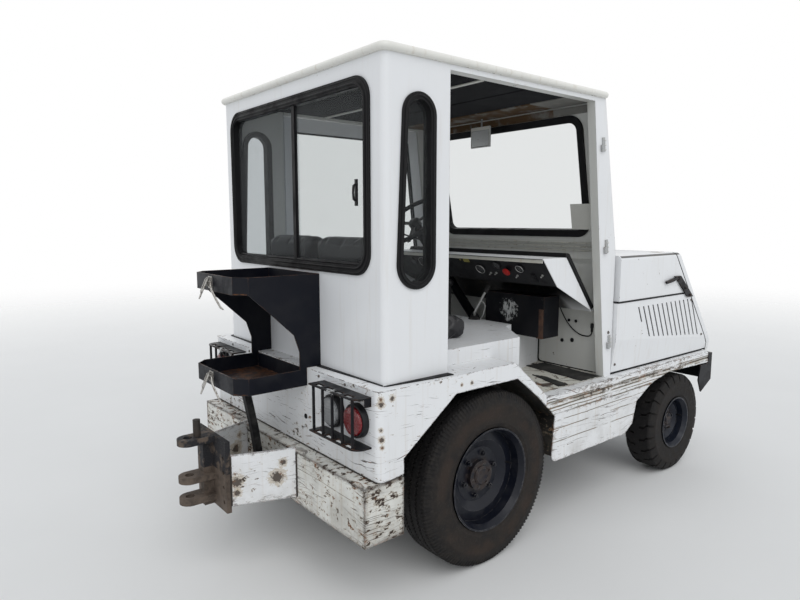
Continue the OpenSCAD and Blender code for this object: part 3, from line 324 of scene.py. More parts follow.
def worn_paint(name, colour=WHITE, chips=0.2, scratches=0.0, dirt=0.3, low_dirt=0.0, rust=0.5, shift=0.0,
               inside=None, inner=INNER_GREY, spots=(), wear=1.0, streaks=()):
    """Gloss paint with chips down to dark metal, stains round them, runs of dirt and scratches.

    inside masks the surfaces painted in the inner colour; spots are (place, reach) of rusted patches;
    streaks are (height, half width) of long level scrapes."""
    f = Finish(name, coat=0.12)
    broad = f.patches(0.55, (0.40, 0.72), 5, 0.6, shift=shift)
    runs = f.patches(0.022, (0.52, 0.78), 3, 0.5, long=(1, 1, 16), shift=shift)
    if inside:
        colour = f.mix(inside(f), colour, inner)
    faded = f.mix(0.22, colour, (0.55, 0.53, 0.48))
    tint = f.mix(f.times(broad, dirt), colour, faded)
    tint = f.over(tint, STAIN, runs, 0.45 * dirt)
    flecks = f.noise(0.016, 7, 0.66, long=(1.8, 1.8, 1), shift=shift + 3)
    where = f.noise(0.26, 3, 0.6, shift=shift + 7)
    spotty = f.maths("ADD", flecks, f.times(f.maths("SUBTRACT", where, 0.5), 0.55))
    if wear > 1:
        spotty = f.maths("ADD", spotty, f.times(f.edges(0.030), 0.24 * (wear - 1)))
    limit = 0.775 - 0.15 * chips
    chipped = f.step(spotty, limit, limit + 0.012)
    halo = f.step(spotty, limit - 0.06, limit + 0.02)
    gone = chipped
    if scratches:
        patch = f.patches(0.17, (0.42, 0.56), 4, 0.6, long=(2.5, 2.5, 1), shift=shift + 13)
        keen = f.step(f.lines(0.0035, 60, shift + 11),
                      0.665 - 0.045 * scratches, 0.70 - 0.04 * scratches)
        scored = f.step(f.lines(0.008, 26, shift + 17),
                        0.70 - 0.05 * scratches, 0.72 - 0.05 * scratches)
        gone = f.most(gone, f.times(patch, f.most(f.times(keen, 0.75), scored)))
    for height, half in streaks:
        drift = f.noise(0.30, 4, 0.6, shift=shift + 40 * height)
        wander = f.times(f.maths("SUBTRACT", drift, 0.5), 0.016)
        off = f.maths("ABSOLUTE", f.maths("SUBTRACT", f.maths("ADD", f.z, wander), height))
        broken = f.patches(0.12, (0.40, 0.50), 5, 0.7, long=(2.5, 2.5, 1), shift=shift + 30 * height)
        tint = f.over(tint, (0.30, 0.27, 0.19), f.step(off, 2.4 * half, half), broken, 0.75)
        gone = f.most(gone, f.times(f.step(off, half, 0.6 * half), broken, 0.85))
    worn = wear * chips
    ragged = f.patches(0.035, (0.62 - 0.24 * worn, 0.66 - 0.16 * worn), 6, 0.7, shift=shift)
    worn_edge = f.times(f.edges(0.003 + 0.007 * worn), ragged)
    tint = f.over(tint, STAIN, halo, rust)
    if low_dirt:
        low = f.times(f.step(f.z, 0.75, 0.35), f.patches(0.12, (0.35, 0.7), 5, 0.65, shift=shift))
        tint = f.over(tint, GRIME, low, low_dirt)
    bare = f.mix(f.patches(0.05, (0.50, 0.62), 5), DARK_RUST, RUST)
    gone = f.most(gone, worn_edge)
    for point, reach in spots:
        spot = f.near(point, reach)
        tint = f.over(tint, STAIN, f.near(point, 1.7 * reach), 0.6)
        gone = f.most(gone, f.times(spot, 0.9))
    tint = f.mix(gone, tint, bare)
    rough = f.blend(gone, f.blend(broad, 0.32, 0.50), 0.85)
    height = f.maths("SUBTRACT", f.times(f.noise(0.20, 2), 0.5), f.times(gone, 0.22))
    return f.done(tint, rough, height, 0.0016, soften=0.0025)


def black_paint(name, rusty, dust=0.15, colour=(0.0060, 0.0065, 0.0090), rusted_inside=(), scuffs=()):
    """Black paint over steel with dust, lighter worn edges and rust, and a thin painted highlight along
    every sharp edge.

    rusted_inside are boxes (low, high, share) that are more rusted; scuffs are (place, reach)."""
    f = Finish(name, specular=0.16)
    spots = f.noise(0.045, 8, 0.68, shift=2)
    edge = f.times(f.edges(0.005), f.patches(0.03, (0.42, 0.58), 5, 0.7))
    rusted = f.times(f.step(spots, 0.72 - 0.2 * rusty, 0.76 - 0.2 * rusty), min(1.0, rusty * 2))
    for low, high, more in rusted_inside:
        rusted = f.most(rusted, f.times(f.within(low, high), f.step(spots, 0.38, 0.50), more))
    dusty = f.patches(0.14, (0.42, 0.75), 6, 0.65, shift=5)
    tint = f.mix(f.times(dusty, dust), colour, (0.085, 0.080, 0.072))
    bare = f.mix(f.patches(0.03, (0.40, 0.60), 5), DARK_RUST, RUST)
    tint = f.mix(f.most(rusted, f.times(edge, 0.6)), tint, bare)
    # Painted highlight: a thin pale line along every sharp edge
    tint = f.over(tint, (0.22, 0.20, 0.18), f.edges(0.0015), 0.25)
    for point, reach in scuffs:
        streaks = f.patches(0.012, (0.44, 0.50), 4, 0.6, long=(1, 1, 3))
        tint = f.over(tint, (0.55, 0.56, 0.55), f.near(point, reach), streaks)
    rough = f.blend(f.most(dusty, rusted), 0.34, 0.75)
    return f.done(tint, rough, f.noise(0.05, 5), 0.0012, soften=0.002)


def rusty_steel(name, dark=(0.050, 0.038, 0.030), light=(0.12, 0.092, 0.072), black_over=None):
    """Bare rusty steel; black_over is a box in which black paint is left in patches."""
    f = Finish(name, metal=0.3)
    broad = f.patches(0.06, (0.38, 0.64), 7, 0.65)
    fine = f.patches(0.006, (0.35, 0.7), 5, 0.6)
    tint = f.mix(broad, light, dark)
    tint = f.over(tint, tuple(1.6 * c for c in light), fine, 0.4)
    if black_over:
        kept = f.times(f.within(*black_over), f.patches(0.05, (0.62, 0.50), 6, 0.65, shift=3))
        tint = f.mix(kept, tint, (0.016, 0.016, 0.019))
    return f.done(tint, f.blend(fine, 0.60, 0.86), f.noise(0.008, 6, 0.6), 0.0012, soften=0.003)


def plated_steel(name, colour=(0.40, 0.39, 0.37), rusty=0.5):
    """Zinc plate with specks of rust."""
    f = Finish(name, metal=0.8)
    spots = f.patches(0.012, (0.62 - 0.2 * rusty, 0.72 - 0.1 * rusty), 6, 0.65)
    tint = f.mix(spots, colour, (0.14, 0.10, 0.075))
    return f.done(tint, f.blend(spots, 0.36, 0.75), f.noise(0.006, 4), 0.0005)


def black_rubber(name, dust, colour=(0.0070, 0.0070, 0.0080), rough=0.55):
    """Rubber seals and mats, with dust in patches."""
    f = Finish(name, specular=0.16)
    dusty = f.patches(0.08, (0.42, 0.75), 6, 0.65)
    tint = f.mix(f.times(dusty, dust), colour, (0.13, 0.125, 0.115))
    return f.done(tint, f.blend(dusty, rough, 0.85), f.noise(0.004, 4), 0.0004)


def tyre_rubber(name, centre, rim_radius, radius, brown):
    """Tyre rubber, browner with dried mud on the side wall and in the tread's hollows."""
    f = Finish(name, specular=0.16)
    far = f.from_axis(centre)
    wall = f.times(f.step(far, radius * 0.97, rim_radius + 0.55 * (radius - rim_radius)),
                   f.patches(0.10, (0.34, 0.62), 6, 0.65))
    ring = f.times(f.step(far, radius * 0.66, radius * 0.74), f.step(far, radius * 0.88, radius * 0.80),
                   f.patches(0.16, (0.46, 0.60), 5, 0.6, shift=6))
    groove = f.step(far, radius - 0.002, radius - 0.008)
    grit = f.patches(0.03, (0.40, 0.66), 7, 0.7, shift=4)
    scrub = f.patches(0.012, (0.50, 0.68), 5, 0.65, shift=8)
    tint = f.mix(f.times(grit, 0.30), (0.0105, 0.0100, 0.0105), (0.032, 0.029, 0.027))
    tint = f.over(tint, (0.032, 0.024, 0.019), wall, brown)
    tint = f.over(tint, (0.050, 0.031, 0.022), ring, 0.7 * brown)
    tint = f.over(tint, (0.07, 0.062, 0.052), groove, grit, 0.15)
    tint = f.over(tint, (0.060, 0.055, 0.050), scrub, 0.20)
    return f.done(tint, f.blend(grit, 0.60, 0.88), f.noise(0.006, 5, 0.6), 0.0006)


def vinyl(name):
    """Black leathercloth: small grain, faint dust in the hollows."""
    f = Finish(name, coat=0.05, specular=0.35)
    dusty = f.patches(0.10, (0.48, 0.78), 5, 0.6)
    tint = f.mix(f.times(dusty, 0.25), (0.0100, 0.0100, 0.0125), (0.070, 0.070, 0.068))
    grain = f.step(f.cells(0.0022), 0.1, 0.6)
    return f.done(tint, f.blend(dusty, 0.30, 0.55), grain, 0.0003)


def tinted_glass(name):
    """Clear sheet with a grey tint, darker in the left half of the rear window, with a little dust."""
    f = Finish(name)
    see = f.node("ShaderNodeBsdfTransparent")
    left = f.times(f.step(f.y, -0.025, -0.015), f.step(f.x, -0.98, -0.99))
    f.feed(see.inputs["Color"], f.mix(left, (0.90, 0.91, 0.91), (0.78, 0.80, 0.81)))
    facing_away = f.node("ShaderNodeLayerWeight").outputs["Facing"]
    shine = f.maths("ADD", f.times(f.maths("POWER", facing_away, 4.0), 0.55), 0.03)
    dust = f.times(f.patches(0.16, (0.45, 0.8), 5, 0.6), 0.06)
    both = f.node("ShaderNodeMixShader")
    f.feed(both.inputs[0], f.most(shine, dust))
    f.feed(both.inputs[1], see.outputs[0])
    f.feed(both.inputs[2], f.face.outputs[0])
    f.feed(f.tree.nodes["Material Output"].inputs[0], both.outputs[0])
    return f.done(f.mix(f.noise(0.05, 3), (0.30, 0.31, 0.31), (0.36, 0.37, 0.37)), 0.05)


def lamp_lens(name, colour, pitch=0.006):
    """Moulded lens with fine upright ribs and a glossy face."""
    f = Finish(name, coat=0.6)
    ribs = f.maths("SINE", f.times(f.y, 2 * math.pi / pitch))
    cross = f.maths("SINE", f.times(f.z, math.pi / pitch))
    shade = f.patches(0.09, (0.4, 0.8), 2)
    dim = f.most(f.times(f.step(ribs, 0.2, 0.9), 0.5), f.times(shade, 0.5))
    tint = f.mix(dim, colour, tuple(0.55 * c for c in colour))
    return f.done(tint, 0.16, f.maths("ADD", ribs, f.times(cross, 0.5)), 0.0012)


def moulded_plastic(name, colour, dust=0.25):
    """Plastic with a fine grain and a pale dust."""
    f = Finish(name, specular=0.3)
    dusty = f.patches(0.07, (0.42, 0.75), 6, 0.65)
    pale = tuple(0.7 * c + 0.035 for c in colour)
    tint = f.mix(f.times(dusty, dust), colour, pale)
    return f.done(tint, f.blend(dusty, 0.42, 0.7), f.cells(0.0015), 0.0002)


def felt(name, colour, stain=None):
    """Matt lining cloth; a stain browns all of it but its right end."""
    f = Finish(name, specular=0.15)
    worn = f.patches(0.12, (0.45, 0.75), 6, 0.65)
    tint = f.mix(f.times(worn, 0.4), colour, tuple(1.8 * c + 0.01 for c in colour))
    if stain:
        brown = f.times(f.step(f.y, -0.386, -0.380), f.patches(0.09, (0.30, 0.55), 5, 0.6, shift=2))
        tint = f.mix(brown, tint, stain)
    return f.done(tint, 0.9, f.noise(0.003, 3), 0.0006)


def cast_iron(name):
    """Rough grey iron with oil on it."""
    f = Finish(name, metal=0.2)
    oil = f.patches(0.12, (0.4, 0.65), 6, 0.65)
    tint = f.mix(oil, (0.09, 0.09, 0.095), (0.03, 0.026, 0.022))
    return f.done(tint, f.blend(oil, 0.75, 0.4), f.noise(0.01, 6), 0.003, soften=0.004)


def wheel_paint(name, node, colour):
    """Dark blue-black rim paint, dusty, a little brown towards the hub, and paler in patches on its sharp
    edges, partly worn paint and partly a painted highlight.
    """
    low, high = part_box(node)
    f = Finish(name, coat=0.08, specular=0.25)
    far = f.from_axis((low + high) / 2)
    hub = f.times(f.step(far, 0.10, 0.05), f.patches(0.03, (0.34, 0.60), 6, 0.65))
    dusty = f.patches(0.07, (0.45, 0.72), 7, 0.68)
    tint = f.mix(f.times(dusty, 0.16), colour, (0.060, 0.058, 0.056))
    tint = f.over(tint, (0.060, 0.038, 0.026), hub, 0.50)
    # Paler patches on sharp edges: partly worn paint, partly a painted highlight on the flanges
    edge = f.times(f.edges(0.003), f.patches(0.02, (0.42, 0.58), 5))
    tint = f.over(tint, (0.26, 0.25, 0.24), edge, 0.50)
    return f.done(tint, f.blend(dusty, 0.34, 0.75), f.noise(0.02, 6), 0.0008)


FINISHES = {}


def finish(name, maker, *values, on=(), **settings):
    """Makes a finish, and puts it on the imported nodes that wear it."""
    FINISHES[name] = maker(name, *values, **settings)
    for node in on:
        for slot in nodes[node].material_slots:
            slot.material = FINISHES[name]


def white_finishes():
    """White and pale paints, each with its own wear."""
    lamp_panel_rust = [(at(x, -722, z), reach) for x, z, reach in (
        (10, 858, 0.009), (12, 838, 0.012), (10, 742, 0.008), (13, 706, 0.011),
        (16, 676, 0.007), (62, 854, 0.010), (420, 844, 0.006), (478, 843, 0.007))]
    tow_box_rust = [(at(x, side * y, z), reach) for side in SIDES for x, y, z, reach in (
        (-300, 158, 440, 0.022), (-300, 158, 395, 0.014), (-143, 211, 440, 0.026),
        (-120, 219, 500, 0.014))]
    sill_scrapes = [(0.662, 0.0020), (0.648, 0.0045), (0.632, 0.0030), (0.615, 0.0018),
                    (0.597, 0.0030), (0.560, 0.0014), (0.520, 0.0016), (0.455, 0.0016)]
    finish("shell_paint", worn_paint, on=["cab_shell"], chips=0.05, dirt=0.25, rust=0.25, shift=1,
           inside=shell_inside)
    # The inner grey also covers the windscreen pillars' rear faces, partly as painted shade
    finish("front_paint", worn_paint, on=["cab_front"], chips=0.12, dirt=0.35, rust=0.3, shift=2,
           inside=windscreen_inside)
    finish("door_paint", worn_paint, on=["left_door"], chips=0.08, dirt=0.25, rust=0.25, shift=3)
    finish("hinge_paint", worn_paint, on=["door_hinges"], colour=(0.40, 0.41, 0.41), chips=0.4, dirt=0.6,
           shift=17)
    finish("hood_paint", worn_paint, on=["bonnet_lid", "bonnet_sides", "nose_panel"], chips=0.12,
           dirt=0.3, rust=0.3, shift=2, inside=under_hood, inner=(0.05, 0.05, 0.048),
           spots=[(at(2120, -600, 1320), 0.03)])
    finish("body_paint", worn_paint, on=["rear_body"], chips=0.62, dirt=0.5, scratches=0.7, rust=0.7,
           low_dirt=0.2, shift=4, inside=fender_inside, inner=INKY, wear=1.15, spots=lamp_panel_rust)
    finish("sill_paint", worn_paint, on=["side_panels"], chips=0.55, dirt=0.5, scratches=1.3, rust=0.6,
           low_dirt=0.3, shift=5, inside=sill_inside, inner=INKY, wear=1.5, streaks=sill_scrapes)
    finish("ballast_paint", worn_paint, on=["rear_ballast"], colour=(0.72, 0.72, 0.68), chips=1.30,
           dirt=1.0, scratches=1.9, rust=0.8, low_dirt=0.5, shift=8, wear=1.6, streaks=[(0.470, 0.0010)])
    finish("tow_paint", worn_paint, on=["tow_box"], chips=0.70, dirt=0.6, scratches=0.6, rust=0.6,
           low_dirt=0.2, shift=6, spots=tow_box_rust, wear=1.5)
    finish("platform_paint", worn_paint, on=["seat_platform"], chips=0.30, dirt=0.5, scratches=0.2,
           shift=9)
    finish("floor_paint", worn_paint, on=["floor_pan"], colour=(0.62, 0.61, 0.55), chips=1.0, dirt=0.9,
           scratches=1.4, rust=0.6, shift=12)
    # Under the dash's sheet INKY is painted shade, fading to the white paint low down right of the heater
    finish("dash_paint", worn_paint, on=["dash_cowl"], chips=0.12, dirt=0.3, shift=14,
           inside=dash_underside_shade, inner=INKY)
    finish("roof_paint", worn_paint, on=["roof"], colour=CREAM, chips=0.15, dirt=0.7, rust=0.5, shift=10)
    finish("lip_paint", worn_paint, colour=(0.60, 0.59, 0.52), chips=0.3, dirt=0.9, shift=15)
    finish("ledge_paint", worn_paint, colour=(0.54, 0.53, 0.48), chips=0.3, dirt=0.9, shift=16)


def metal_finishes():
    """Black paint, rusty and plated steel, and the wheels' paint."""
    finish("black_paint", black_paint, on=["lid_latches", "nose_grille", "steering_column"], rusty=0.2)
    finish("guard_paint", black_paint, on=["lamp_guards"], rusty=0.2, dust=0.08,
           scuffs=[(at(-66, side * 505, 860), 0.02) for side in SIDES])
    finish("bumper_paint", black_paint, on=["front_bumper"], rusty=0.25, dust=0.15)
    finish("heater_paint", black_paint, on=["heater_box"], rusty=0.05, dust=0.10,
           scuffs=[(at(1290, -216, 1016), 0.060)])
    finish("tray_paint", black_paint, on=["tray_carrier"], rusty=0.16, dust=0.10,
           colour=(0.0055, 0.0065, 0.0110), rusted_inside=[
               (at(-300, -221, 1212), at(66, 221, 1216), 0.95),
               (at(-310, -221, 812), at(-2, 221, 816), 0.55)])
    finish("frame_paint", black_paint, on=["chassis_frame", "front_axle", "rear_axle", "left_knuckle",
                                           "right_knuckle", "tie_rod"], rusty=0.35, dust=0.6)
    finish("hitch_steel", rusty_steel, on=["hitch_bracket"],
           black_over=(at(-500, -160, 480), at(-320, 160, 640)))
    finish("pin_steel", rusty_steel, on=["hitch_pin"], dark=(0.020, 0.018, 0.017),
           light=(0.045, 0.036, 0.030))
    finish("strap_steel", rusty_steel, dark=(0.022, 0.014, 0.011), light=(0.100, 0.052, 0.034))
    finish("plated_steel", plated_steel, on=["tray_latches"])
    finish("clean_steel", plated_steel, colour=(0.60, 0.60, 0.58), rusty=0.15)
    finish("bolt_steel", plated_steel, colour=(0.20, 0.19, 0.18), rusty=1.0)
    finish("mirror_glass", plated_steel, colour=(0.66, 0.67, 0.67), rusty=0.0)
    finish("cast_iron", cast_iron, on=["engine"])
    finish("front_rim", wheel_paint, "front_left_rim", (0.0075, 0.0105, 0.0190),
           on=["front_left_rim", "front_right_rim"])
    finish("rear_rim", wheel_paint, "rear_left_rim", (0.0050, 0.0065, 0.0125),
           on=["rear_left_rim", "rear_right_rim"])


def other_finishes():
    """Rubber, glass, lenses, plastics and cloth."""
    finish("window_rubber", black_rubber, on=["window_rubbers"], dust=0.04, rough=0.42)
    finish("soft_rubber", black_rubber, on=["release_hose"], dust=0.40)
    finish("strip_rubber", black_rubber, dust=0.06, rough=0.45)
    finish("mat_rubber", black_rubber, dust=0.5, colour=(0.020, 0.020, 0.020), rough=0.7)
    finish("glass", tinted_glass, on=["window_panes", "left_door_pane"])
    finish("red_lens", lamp_lens, (0.21, 0.004, 0.009), on=["tail_lamps"])
    finish("clear_lens", lamp_lens, (0.36, 0.37, 0.38), on=["reverse_lamps", "headlamps"])
    finish("gauge_glass", lamp_lens, (0.020, 0.021, 0.023), pitch=0.010)
    finish("black_plastic", moulded_plastic, (0.0070, 0.0070, 0.0085), dust=0.12,
           on=["instrument_panel", "steering_wheel", "driver_controls"])
    finish("grey_plastic", moulded_plastic, (0.33, 0.34, 0.34), on=["mirrors"])
    finish("pale_plastic", moulded_plastic, (0.66, 0.65, 0.60), dust=0.1)
    finish("red_plastic", moulded_plastic, (0.42, 0.015, 0.012), dust=0.1)
    finish("yellow_plastic", moulded_plastic, (0.34, 0.30, 0.08), dust=0.3)
    finish("vinyl", vinyl, on=["seat_cushions", "seat_backs"])
    finish("black_felt", felt, (0.010, 0.010, 0.012))
    finish("header_board", felt, (0.20, 0.195, 0.18), stain=(0.095, 0.058, 0.030))


class Shape:
    """Points and faces of one piece, gathered from several simple forms."""

    def __init__(self):
        self.points = []
        self.faces = []

    def add(self, points, faces, place=None):
        """Adds one form, moved to a place."""
        first = len(self.points)
        self.points += [tuple(place @ Vector(p)) if place else tuple(p) for p in points]
        self.faces += [tuple(first + i for i in face) for face in faces]

    def lathe(self, profile, place, turns=32):
        """Turns (radius, height) points round place's z axis; ends on the axis are closed."""
        points, rows = [], []
        for radius, height in profile:
            if radius < 1e-6:
                rows.append([len(points)] * turns)
                points.append((0, 0, height))
            else:
                rows.append(list(range(len(points), len(points) + turns)))
                points += [polar(radius, 2 * math.pi * k / turns, height) for k in range(turns)]
        faces = []
        for low, high in zip(rows, rows[1:]):
            for k in range(turns):
                n = (k + 1) % turns
                face = [low[k], low[n], high[n], high[k]]
                face = [v for i, v in enumerate(face) if v != face[i - 1]]
                if len(face) > 2:
                    faces.append(face)
        self.add(points, faces, place)

    def loft(self, rings, place=None, closed=False):
        """Skins rings of as many points each; caps the first and the last unless closed."""
        wide, count = len(rings[0]), len(rings)
        faces = []
        for k in range(count if closed else count - 1):
            low, high = k * wide, (k + 1) % count * wide
            faces += [(low + i, low + (i + 1) % wide, high + (i + 1) % wide, high + i)
                      for i in range(wide)]
        if not closed:
            faces += [tuple(range(wide))[::-1], tuple(range((count - 1) * wide, count * wide))]
        self.add([p for ring in rings for p in ring], faces, place)

    def prism(self, outline, low, high, place=None):
        """An outline in the xy plane drawn up from low to high."""
        self.loft([[(x, y, z) for x, y in outline] for z in (low, high)], place)

    def block(self, low, high, place=None):
        """A block between two corners, of a piece that is made of several."""
        low, high = [[f(a, b) for a, b in zip(low, high)] for f in (min, max)]
        self.prism([(low[0], low[1]), (high[0], low[1]), (high[0], high[1]), (low[0], high[1])],
                   low[2], high[2], place)

    def across(self, outline, low, high):
        """An outline of (station, height) in millimetres drawn along y from low to high."""
        self.loft([[at(x, y, z) for x, z in outline] for y in (low, high)])

    def tube(self, path, radius, sides=10, closed=False):
        """A round bar along a path of points."""
        path = [Vector(p) for p in path]
        angles = [2 * math.pi * i / sides for i in range(sides)]
        rings = []
        across = None
        for k, point in enumerate(path):
            before = path[k - 1] if k or closed else point
            after = path[(k + 1) % len(path)] if k < len(path) - 1 or closed else point
            ahead = (after - before).normalized()
            if across is None:
                across = ahead.orthogonal().normalized()
            across = (across - ahead * across.dot(ahead)).normalized()
            other = ahead.cross(across)
            rings.append([point + radius * (math.cos(a) * across + math.sin(a) * other)
                          for a in angles])
        self.loft(rings, closed=closed)

    def bolt(self, place, size, high):
        """A hexagon head on a washer, standing along place's z axis."""
        self.lathe([(0, 0), (0.85 * size, 0), (0.85 * size, 0.0016), (0, 0.0016)], place, 16)
        self.prism([polar(0.55 * size, math.pi / 3 * k)[:2] for k in range(6)], 0.0012, high, place)

    def screw(self, place, size=0.005):
        """A domed screw head."""
        dome = ((0, 0), (1, 0), (0.95, 0.3), (0.6, 0.6), (0, 0.7))
        self.lathe([(r * size, high * size) for r, high in dome], place, 12)

    def piece(self, name, look, body="root", *, slot, smooth=40, bevel=0.0):
        """Makes the piece, with a finish's name or a material as its look, riding on a body."""
        mesh = bpy.data.meshes.new(name)
        mesh.from_pydata(self.points, [], self.faces)
        mesh.validate()
        tidy = bmesh.new()
        tidy.from_mesh(mesh)
        bmesh.ops.recalc_face_normals(tidy, faces=tidy.faces)
        tidy.to_mesh(mesh)
        tidy.free()
        made = bpy.data.objects.new(name, mesh)
        scene.collection.objects.link(made)
        mesh.materials.append(FINISHES.get(look, look))
        if smooth:
            mesh.shade_smooth()
            mesh.set_sharp_from_angle(angle=math.radians(smooth))
        if bevel:
            cut = made.modifiers.new("bevel", "BEVEL")
            cut.width = bevel
            cut.segments = 2
            cut.limit_method = "ANGLE"
        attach(made, body)
        return made


def facing(point, direction, turn=0.0):
    """A place at point whose z axis looks along direction."""
    turned = Vector(direction).to_track_quat("Z", "Y").to_matrix().to_4x4()
    return Matrix.Translation(point) @ turned @ Matrix.Rotation(turn, 4, "Z")


def round_corners(low, high, radius):
    """Points round a rectangle with round corners."""
    left, right = low[0] + radius, high[0] - radius
    under, over = low[1] + radius, high[1] - radius
    points = []
    for k, (x, y) in enumerate(((right, over), (left, over), (left, under), (right, under))):
        for angle in (math.pi / 2 * (k + i / 8) for i in range(9)):
            points.append((x + radius * math.cos(angle), y + radius * math.sin(angle)))
    return points


def tyre_profile(rim, radius, width):
    """Half section of a tyre, as in the solids: (radius, distance from the middle), bead to crown."""
    deep = radius - rim
    wall = ((0.13, 0.470), (0.16, 0.482), (0.20, 0.478), (0.45, 0.500), (0.60, 0.495), (0.63, 0.499),
            (0.66, 0.490), (0.78, 0.478))
    section = [(rim - 0.006, 0.37), (rim + 0.008, 0.455)]
    section += [(rim + share * deep, half) for share, half in wall]
    section += [(radius - 0.008, 0.425), (radius - 0.001, 0.37)]
    return [(r, half * width) for r, half in section]


def build_tyre(name, node, rim_node, body, pattern):
    """A tyre with its tread cut as geometry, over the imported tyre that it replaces.

    The pattern gives its pitches, the rows of one pitch as shares of it, and a call that says how deep
    the tread is cut, and how it is slid round and pushed across, at one point of the section."""
    low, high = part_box(node)
    centre = (low + high) / 2
    radius = (high.z - low.z) / 2
    width = high.y - low.y
    rim_low, rim_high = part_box(rim_node)
    rim = (rim_high.z - rim_low.z) / 2 - RIM_FLANGE
    wall = tyre_profile(rim, radius, width)
    crown = [(radius - 0.003 * (abs(y) / (0.37 * width)) ** 4, y) for y in pattern["across"](width)]
    section = [(r, -y) for r, y in wall] + crown + [(r, y) for r, y in wall[::-1]]
    points = []
    for pitch in range(pattern["pitches"]):
        for share in pattern["rows"]:
            for i, (r, y) in enumerate(section):
                from_shoulder = len(wall) - 1 - min(i, len(section) - 1 - i)
                depth, slide, push = pattern["cut"](share, y / width, from_shoulder)
                angle = 2 * math.pi * (pitch + share + slide) / pattern["pitches"]
                points.append((centre.x + (r - depth) * math.cos(angle), centre.y + y + push,
                               centre.z + (r - depth) * math.sin(angle)))
    wide = len(section)
    count = len(points) // wide
    rows = [(k * wide, (k + 1) % count * wide) for k in range(count)]
    shape = Shape()
    shape.add(points, [(low + i, low + i + 1, high + i + 1, high + i)
                       for low, high in rows for i in range(wide - 1)])
    rubber = tyre_rubber(name + "_rubber", centre, rim, radius, pattern["brown"])
    made = shape.piece(name, rubber, body, smooth=32, slot="tyre")
    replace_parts(made, node)


def lug_pattern():
    """Industrial tread: broad lugs parted by narrow stepped grooves, the two halves in turn."""
    edge = 0.025
    groove = 0.17
    half_rows = [0.0, edge, groove - edge, groove, 0.34]
    depths = {0: 0.013, 1: 0.011, 2: 0.006}

    def cut(share, across, from_shoulder):
        """Depth of the cut, slide round and push across, at a share of the pitch and of the width."""
        shifted = share if across > 0 else (share + 0.5) % 1.0
        inside = edge - 1e-6 <= shifted <= groove - edge + 1e-6
        out = abs(across)
        deep = push = 0.0
        if inside and out > 0.08:
            deep = depths.get(from_shoulder, 0.0) if from_shoulder >= 0 else 0.014
            if from_shoulder in (1, 2):
                push = -math.copysign(0.006, across)
        slide = 0.0
        if out < 0.33:
            slide = 0.22 * min(1.0, (0.33 - out) / 0.07) + 0.3 * max(0.0, 0.26 - out)
        return deep, slide, push

    def across(width):
        """Where the section's points on the crown are."""
        steps = [0.33, 0.26, 0.085, 0.077]
        return [-width * s for s in steps] + [0.0] + [width * s for s in steps[::-1]]

    return {"pitches": 24, "rows": half_rows + [0.5 + row for row in half_rows], "cut": cut,
            "across": across, "brown": 0.12}


def rib_pattern():
    """Road tread: four ribs parted by three zigzag grooves, with short slots at the shoulders."""
    lines = [-0.205, 0.0, 0.205]
    rows = [0.0, 0.06, 0.25, 0.31, 0.5, 0.56, 0.75, 0.81]

    def across(width):
        """Where the section's points on the crown are."""
        near = [line + s for line in lines for s in (-0.024, -0.014, 0.014, 0.024)]
        return [width * s for s in [-0.335] + near + [0.335]]

    def cut(share, across, from_shoulder):
        """Depth of the cut, slide round and push across, at a share of the pitch and of the width."""
        deep = push = 0.0
        for k, line in enumerate(lines):
            if abs(across - line) < 0.03:
                wave = abs(((share * 2 + 0.5 * k) % 1.0) * 2 - 1) * 2 - 1
                push = 0.0055 * wave
                if abs(across - line) < 0.018:
                    deep = 0.009
        if share in (0.06, 0.25, 0.56, 0.75):
            if from_shoulder == 0:
                deep = 0.007
            elif from_shoulder == 1:
                push = -math.copysign(0.005, across)
        return deep, 0.0, push

    return {"pitches": 68, "rows": rows, "cut": cut, "across": across, "brown": 0.5}


def wheels():
    """Tyres, and the nuts, hub cap and valve of each wheel on its disc."""
    # Each end's tread, its number of nuts and the radius of their circle, how far in its disc is,
    # and its hub cap's radius
    fits = {"front": (lug_pattern(), 5, 0.062, 0.075, 0.028),
            "rear": (rib_pattern(), 6, 0.094, 0.085, 0.042)}
    for end, (pattern, count, ring, disc, cap) in fits.items():
        for hand, side in (("left", 1), ("right", -1)):
            name = f"{end}_{hand}"
            build_tyre(f"{name}_tread", f"{name}_tyre", f"{name}_rim", f"{name}_wheel", pattern)
            low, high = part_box(f"{name}_rim")
            middle = (low + high) / 2
            rim = (high.z - low.z) / 2
            tyre_low, tyre_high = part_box(f"{name}_tyre")
            outer = tyre_high.y if side > 0 else tyre_low.y

            def on_disc(forward, up, out=0.0):
                """A place on the wheel's disc, or out from it."""
                return Vector((middle.x + forward, outer - side * (disc - out), middle.z + up))

            shape = Shape()
            for k in range(count):
                angle = 2 * math.pi * (k + 0.25) / count
                nut = on_disc(*polar(ring, angle)[:2])
                shape.bolt(facing(nut, (0, side, 0), angle), 0.021, 0.016)
                shape.lathe([(0, 0.014), (0.007, 0.014), (0.007, 0.024), (0, 0.025)],
                            facing(nut, (0, side, 0)), 10)
            hub = facing(on_disc(0, 0, 0.022), (0, side, 0))
            shape.lathe([(0, 0), (cap, 0), (cap, 0.004), (0.8 * cap, 0.009), (0.75 * cap, 0.008),
                         (0, 0.011)], hub)
            for k in range(6):
                place = Matrix.Translation(polar(1.25 * cap, math.pi / 3 * k + 0.2))
                shape.bolt(hub @ place, 0.008, 0.005)
            shape.piece(f"{name}_nuts", f"{end}_rim", f"{name}_wheel", slot="rim_paint")
            valve = Shape()
            valve.tube([on_disc(reach * rim, 0.1 * rim, out)
                        for reach, out in ((0.70, 0.010), (0.71, 0.030), (0.73, 0.052))], 0.0042)
            valve.piece(f"{name}_valve", "strip_rubber", f"{name}_wheel", slot="rubber")


